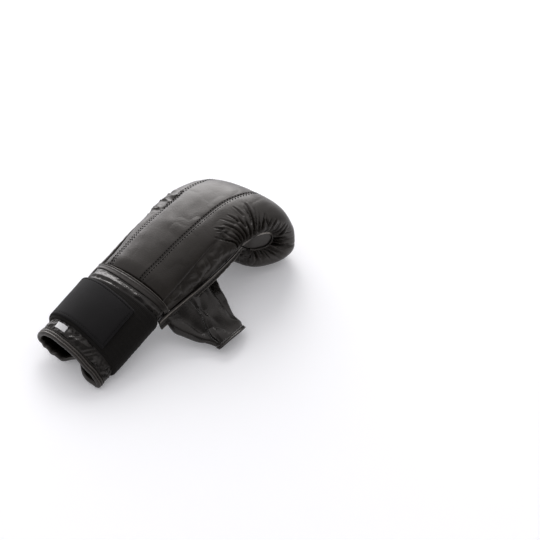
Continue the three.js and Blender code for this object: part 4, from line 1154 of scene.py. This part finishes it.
def thumbPoint(row, turn, inset, extraReach=0.0):
    row, turn = np.broadcast_arrays(row, turn)
    along, reach, up, wide, tall = (
        readRow(thumbTable[column], row) for column in ("along", "reach", "up", "wide", "tall"))
    x, y, z = along * glove["length"], -reach * thumb["reach"] - extraReach, up * glove["fistHeight"]
    px = (wide * thumb["width"] / 2 - inset) * signedPower(np.cos(turn), thumb["power"])
    pz = (tall * thumb["height"] / 2 - inset) * signedPower(np.sin(turn), thumb["power"])
    lean = 0.25 * smoothStep(1.2, 0, row) - thumb["lean"] * smoothStep(3.4, 5, row)
    sag = smoothStep(0.6, 2.2, row) * smoothStep(4.9, 3.4, row) * np.maximum(-np.cos(turn), 0) ** 2
    return np.stack([x + px - thumb["sag"] * sag, y + pz * lean, z + pz], -1)


# below zero for points that lie in the hand of the glove
def insideHand(points, grow):
    side = points[..., 1]
    x = points[..., 0]
    for _ in range(3):
        at = x / glove["length"]
        y = side - readAt(postureTable, "side", at) * halfWidth
        x = points[..., 0] + readAt(postureTable, "slant", at) * glove["length"] * y / halfWidth
    roll = np.radians(readAt(postureTable, "roll", x / glove["length"]))
    z = points[..., 2] - seamHeight(x)
    flatY = y * np.cos(roll) + z * np.sin(roll)
    flatZ = z * np.cos(roll) - y * np.sin(roll) + seamHeight(x)
    up, drop, wide, mid = palmSection(x)
    lift = np.where(flatZ < up, drop, glove["fistHeight"] * 0.45) + grow
    aside, high = np.abs((flatY - mid) / (wide + grow)), np.abs((flatZ - up) / lift)
    return aside ** palm["power"] + high ** palm["power"] - 1


def thumbRelief(row, turn, base):
    height = layered(base, thumbWrinkles)
    height *= smoothStep(tipRow, 4.2, row) * 0.8 + 0.2
    for fold in thumbFolds:
        middle = fold["root"] + (fold["tip"] - fold["root"]) * row / tipRow
        middle += 0.05 * np.sin(row * 2.4 + fold["root"] * 5)
        fade = smoothStep(fold["fade"], fold["fade"] - 1.8, row)
        height += fold["depth"] * fade * np.exp(-(np.abs(turn - middle) / fold["width"]) ** 1.6)
    fromSeam = turn - np.interp(row, thumbSeam["rows"], thumbSeam["turns"])
    pressed = hump(np.abs(fromSeam) - 0.06, 0.03) - 0.6 * hump(fromSeam, 0.03)
    return height + smoothStep(tipRow, 4.4, row) * pressed


turn = np.linspace(0, 2 * math.pi, thumb["turns"], endpoint=False)[None, :]
samples = np.linspace(0.2, tipRow, 240)[:, None]
inHand = insideHand(thumbPoint(samples, turn, 0), 1.0)
rootRow = np.array([samples[np.max(np.nonzero(column < 0)[0], initial=0), 0] for column in inHand.T])
for _ in range(6):
    rootRow = (np.roll(rootRow, 1) + 2 * rootRow + np.roll(rootRow, -1)) / 4
row = rootRow + (tipRow - rootRow) * np.linspace(0, 1, thumb["rows"])[:, None]
turn = np.broadcast_to(turn, row.shape)
base = thumbPoint(row, turn, 0)
inner = thumbPoint(row, turn, thumb["wall"])
normal = outwardNormals(base, inner, True)
relief = thumbRelief(row, turn, base)[..., None]
thumbOuter = base + normal * relief
thumbInner = inner + normal * relief * 0.9
thumbInner[..., 2] = np.maximum(thumbInner[..., 2], 1.2)
dress(makeWall("Thumb", thumbOuter, thumbInner[::2, ::2], sleeve=True), "soft_leather", softLeather, "thumb")

seamRows = np.linspace(float(np.interp(1.75, turn[0], rootRow)) + 0.1, 4.85, 90)
seamTurns = np.interp(seamRows, thumbSeam["rows"], thumbSeam["turns"]) + 0.045
seamBase, seamIn = thumbPoint(seamRows, seamTurns, 0), thumbPoint(seamRows, seamTurns, 3)
seamUp = seamBase - seamIn
seamUp /= np.linalg.norm(seamUp, axis=1, keepdims=True)
seamLine = seamBase + seamUp * (thumbRelief(seamRows, seamTurns, seamBase) + 0.1)[:, None]
dress(sewStitches("ThumbSeamStitches", [(seamLine, seamUp)], thumbStitch), "soft_leather", greyThread)

# the thumb's turned rim
rimTurn = turn[-1]
profile = [
    (0.35, 0), (0.2, -0.5), (0.7, -0.75), (1.6, -0.5), (2.2, -0.4), (3.4, -0.6), (4.2, -0.5),
    (4.8, 0.0), (4.9, 0.6), (4.4, 1.3), (3, 1.5), (0.8, 1.5), (0.35, 1.4),
]
wave = 0.5 * lumps(thumbPoint(tipRow, rimTurn, 0), 8, 141)
rings = np.stack([
    thumbPoint(tipRow, rimTurn, inset, reach + wave * (reach > 1)) for reach, inset in profile], 1)
# painted highlight on a few lines round the thumb's rim
edgeHighlight = [0, 0, 0.5, 0, 0, 0.2, 0.4, 0.3, 0, 0, 0, 0, 0]
dress(makeRod("ThumbRim", rings, loop=True, edgeHighlight=edgeHighlight), "soft_leather", softLeather, "thumb_hem")
rimRail = thumbPoint(tipRow, rimTurn, -0.45) - [0, 1.0, 0] * (1.9 + wave[:, None])
rimUp = thumbPoint(tipRow, rimTurn, -1.8) - thumbPoint(tipRow, rimTurn, -0.8)
dress(sewStitches("ThumbRimStitches", [(rimRail, rimUp)], rimStitch), "soft_leather", blackThread)

# palm leather is cut away where the thumb goes through, and for the vent holes
cutters = []
cutStart = np.maximum(rootRow - 0.9, 0.1)
cutRow = cutStart + (rootRow + 1.2 - cutStart) * np.linspace(0, 1, 16)[:, None]
cutters.append(makeRod("thumbCutter", thumbPoint(cutRow, turn[0], thumb["wall"])))
ventX = (gripStart + padStart) / 2 + palm["ventAhead"]
ventY = float(readAt(postureTable, "side", ventX / glove["length"])) * halfWidth + palm["ventAside"]
circle = np.linspace(0, 2 * math.pi, 20, endpoint=False)
for a, b in ((0, 0), (1, 1), (1, -1), (-1, 1), (-1, -1)):
    spot = np.array([ventX + a * palm["ventSpacing"] / 2, ventY + b * palm["ventSpacing"] / 2, 0])
    ring = np.stack([np.cos(circle), np.sin(circle), 0 * circle], -1) * palm["ventDiameter"] / 2 + spot
    cutters.append(makeRod("ventCutter", np.stack([ring + [0, 0, 0.5], ring + [0, 0, 41]])))
for cutter in cutters:
    cut = palmPanel.modifiers.new("cut", "BOOLEAN")
    cut.operation, cut.solver, cut.object = "DIFFERENCE", "MANIFOLD", cutter
evaluated = palmPanel.evaluated_get(bpy.context.evaluated_depsgraph_get())
holed = bpy.data.meshes.new_from_object(evaluated)
palmPanel.modifiers.clear()
palmPanel.data = holed
for cutter in cutters:
    bpy.data.objects.remove(cutter)
palmPanel.data.materials.clear()
dress(palmPanel, "black_leather", backLeather, "palm_panel")
print("palm and thumb made")

# seams across the palm
palmStitch = {"pitch": 3.0, "length": 2.2, "radius": 0.36, "lift": 0.25, "sink": 0.08}
rails = []
for grid, upright, far, offsets in (
        (palmGrid, palmNormal, True, (2.2, 4.4)), (fingerGrid, fingerNormal, False, (2.2, 4.4)),
        (fingerGrid, fingerNormal, True, (2.4,))):
    for offset in offsets:
        rail, high = railFrom(grid, upright, offset, far, True)
        rails.append((rail[6:-6], high[6:-6]))
dress(sewStitches("PalmStitches", rails, palmStitch), "black_leather", blackThread)


# Flat sewn edges at the two sides: two layers of leather with a row of stitches
welt = {"reach": 10, "thickness": 2.4, "rows": 260}


def weltRings(side, profile, f):
    start = bandEnd + 2
    x = start + (ribTable["seamAlong"][fistRib] * glove["length"] - start) * f
    up, _, wide, mid = palmSection(x)
    reach = welt["reach"] * (1 - 0.35 * smoothStep(0.05, 0.5, f) - 0.27 * smoothStep(0.5, 1, f))
    tilt = np.radians(62 - 18 * f)
    out = np.stack([np.cos(tilt), -np.sin(tilt)], -1)
    thick = np.stack([np.sin(tilt), np.cos(tilt)], -1) * welt["thickness"] / 2
    foot = np.stack([wide + glove["gap"] + thick[:, 0], up - 0.5], -1)
    rng = np.random.default_rng(151 if side < 0 else 152)
    waves = np.interp(f, np.linspace(0, 1, 46), rng.uniform(-1, 1, 46)) * (0.25 + 0.7 * smoothStep(0.6, 1, f))
    points = []
    for away, high in profile:
        loose = (0.5 * waves * away)[:, None]
        flat = foot + out * ((reach * away)[:, None] + loose) + thick * (high + loose)
        points.append(place(x, side * flat[:, 0] + mid, flat[:, 1]))
    return np.stack(points, 1)


weltProfile = [
    (0.0, 1.0), (0.06, 1.3), (0.14, 1.42), (0.22, 1.25), (0.3, 0.95), (0.45, 0.8), (0.58, 0.66), (0.64, 0.6),
    (0.72, 0.78), (0.84, 1.0), (0.93, 0.98), (0.985, 0.7), (1.0, 0.35), (0.95, 0.05), (1.0, -0.25),
    (0.985, -0.6), (0.93, -0.95), (0.8, -1.0), (0.4, -1.0), (0.0, -1.0),
]
# painted highlight on the welt's bead near its root and along its folded outer edges
weltHighlight = [0, 0.2, 1.6, 0.2, 0, 0, 0, 0, 0, 0, 0.4, 1.6, 1, 0, 0.6, 0.3, 0, 0, 0, 0]
f = np.linspace(0, 1, welt["rows"])
for side, node, name in ((-1, "side_welt_index", "SideWeltIndex"), (1, "side_welt_little", "SideWeltLittle")):
    welted = makeRod(name, weltRings(side, weltProfile, f), edgeHighlight=weltHighlight)
    dress(welted, "edge_leather", edgeLeather, node)
    rail, above = weltRings(side, [(0.62, 0.62), (0.62, 1.6)], f).transpose(1, 0, 2)
    dress(sewStitches(name + "Stitches", [(rail, above - rail)], rimStitch), "edge_leather", blackThread)
print("seams and edges made")


# Floor, light and camera
studio = {
    "aim": (238.66, -64.76, 0.0), "down": 45, "turn": 40.4, "distance": 2.2, "lens": 138.7,
    "brightSide": (0.525, 0.84, 0.139), "world": 4.0, "floorGlow": 0.19,
    "sky": ((0.3, 0.055), (0.57, 0.2), (0.84, 0.2), (0.9, 0.4), (0.95, 0.78), (1.0, 1.35)),
    "keyPower": 13.5, "keySize": 1.0, "keyPlace": (1.22, 1.1, 1.15),
}
floorMesh = bpy.data.meshes.new("Floor")
floorMesh.from_pydata([(-6, -6, 0), (6, -6, 0), (6, 6, 0), (-6, 6, 0)], [], [(0, 1, 2, 3)])
floor = bpy.data.objects.new("Floor", floorMesh)
bpy.context.scene.collection.objects.link(floor)
floorMaterial, floorTree, floorSkin = newMaterial("paleFloor")
speck = addNode(floorTree, "ShaderNodeTexNoise", {"Scale": 3.0, "Detail": 2.0})
floorTone = ramp(floorTree, speck.outputs["Fac"], (0.88, 0.88, 0.89, 1), (0.9, 0.9, 0.91, 1))
floorTree.links.new(floorTone, floorSkin.inputs["Base Color"])
setInputs(floorSkin, {"Roughness": 0.7, "Specular IOR Level": 0.2, "Emission Color": (0.97, 0.97, 1.0, 1),
                      "Emission Strength": studio["floorGlow"]})
floorMesh.materials.append(floorMaterial)

# a studio with one wide bright side, low behind the glove, and dim light all round
world = bpy.data.worlds.new("Studio")
world.use_nodes = True
sky = world.node_tree
towards = addNode(sky, "ShaderNodeTexCoord")
facing = addNode(sky, "ShaderNodeVectorMath", operation="DOT_PRODUCT")
facing.inputs[1].default_value = Vector(studio["brightSide"]).normalized()
sky.links.new(towards.outputs["Generated"], facing.inputs[0])
spread = addNode(sky, "ShaderNodeValToRGB")
while len(spread.color_ramp.elements) < len(studio["sky"]):
    spread.color_ramp.elements.new(0.5)
for element, (spot, tone) in zip(spread.color_ramp.elements, studio["sky"]):
    element.position, element.color = spot, (tone * 0.985, tone * 0.975, tone, 1)
nearness = mathNode(sky, "MULTIPLY", mathNode(sky, "ADD", facing.outputs["Value"], 1.0), 0.5)
sky.links.new(nearness, spread.inputs["Fac"])
sky.links.new(spread.outputs["Color"], sky.nodes["Background"].inputs["Color"])
sky.nodes["Background"].inputs["Strength"].default_value = studio["world"]
bpy.context.scene.world = world


def addSoftLight(name, spot, target, size, power):
    light = bpy.data.lights.new(name, "AREA")
    light.shape, light.size, light.energy = "DISK", size, power
    lamp = bpy.data.objects.new(name, light)
    lamp.location = spot
    lamp.rotation_mode = "QUATERNION"
    lamp.rotation_quaternion = (Vector(spot) - Vector(target)).to_track_quat("Z", "Y")
    bpy.context.scene.collection.objects.link(lamp)


addSoftLight("KeyLight", studio["keyPlace"], (0, 0, 0), studio["keySize"], studio["keyPower"])

camera = bpy.data.objects.new("Camera", bpy.data.cameras.new("Camera"))
camera.data.lens, camera.data.sensor_width = studio["lens"], 36
aim = Vector((np.array(studio["aim"]) + middleOfBox) * 0.001)
down, turned = math.radians(studio["down"]), math.radians(studio["turn"])
away = Vector((-math.cos(down) * math.cos(turned), -math.cos(down) * math.sin(turned), math.sin(down)))
camera.location = aim + away * studio["distance"]
camera.rotation_mode = "QUATERNION"
camera.rotation_quaternion = away.to_track_quat("Z", "Y")
bpy.context.scene.collection.objects.link(camera)
bpy.context.scene.camera = camera
bpy.context.scene.view_settings.view_transform = "Standard"

print("glove finished")
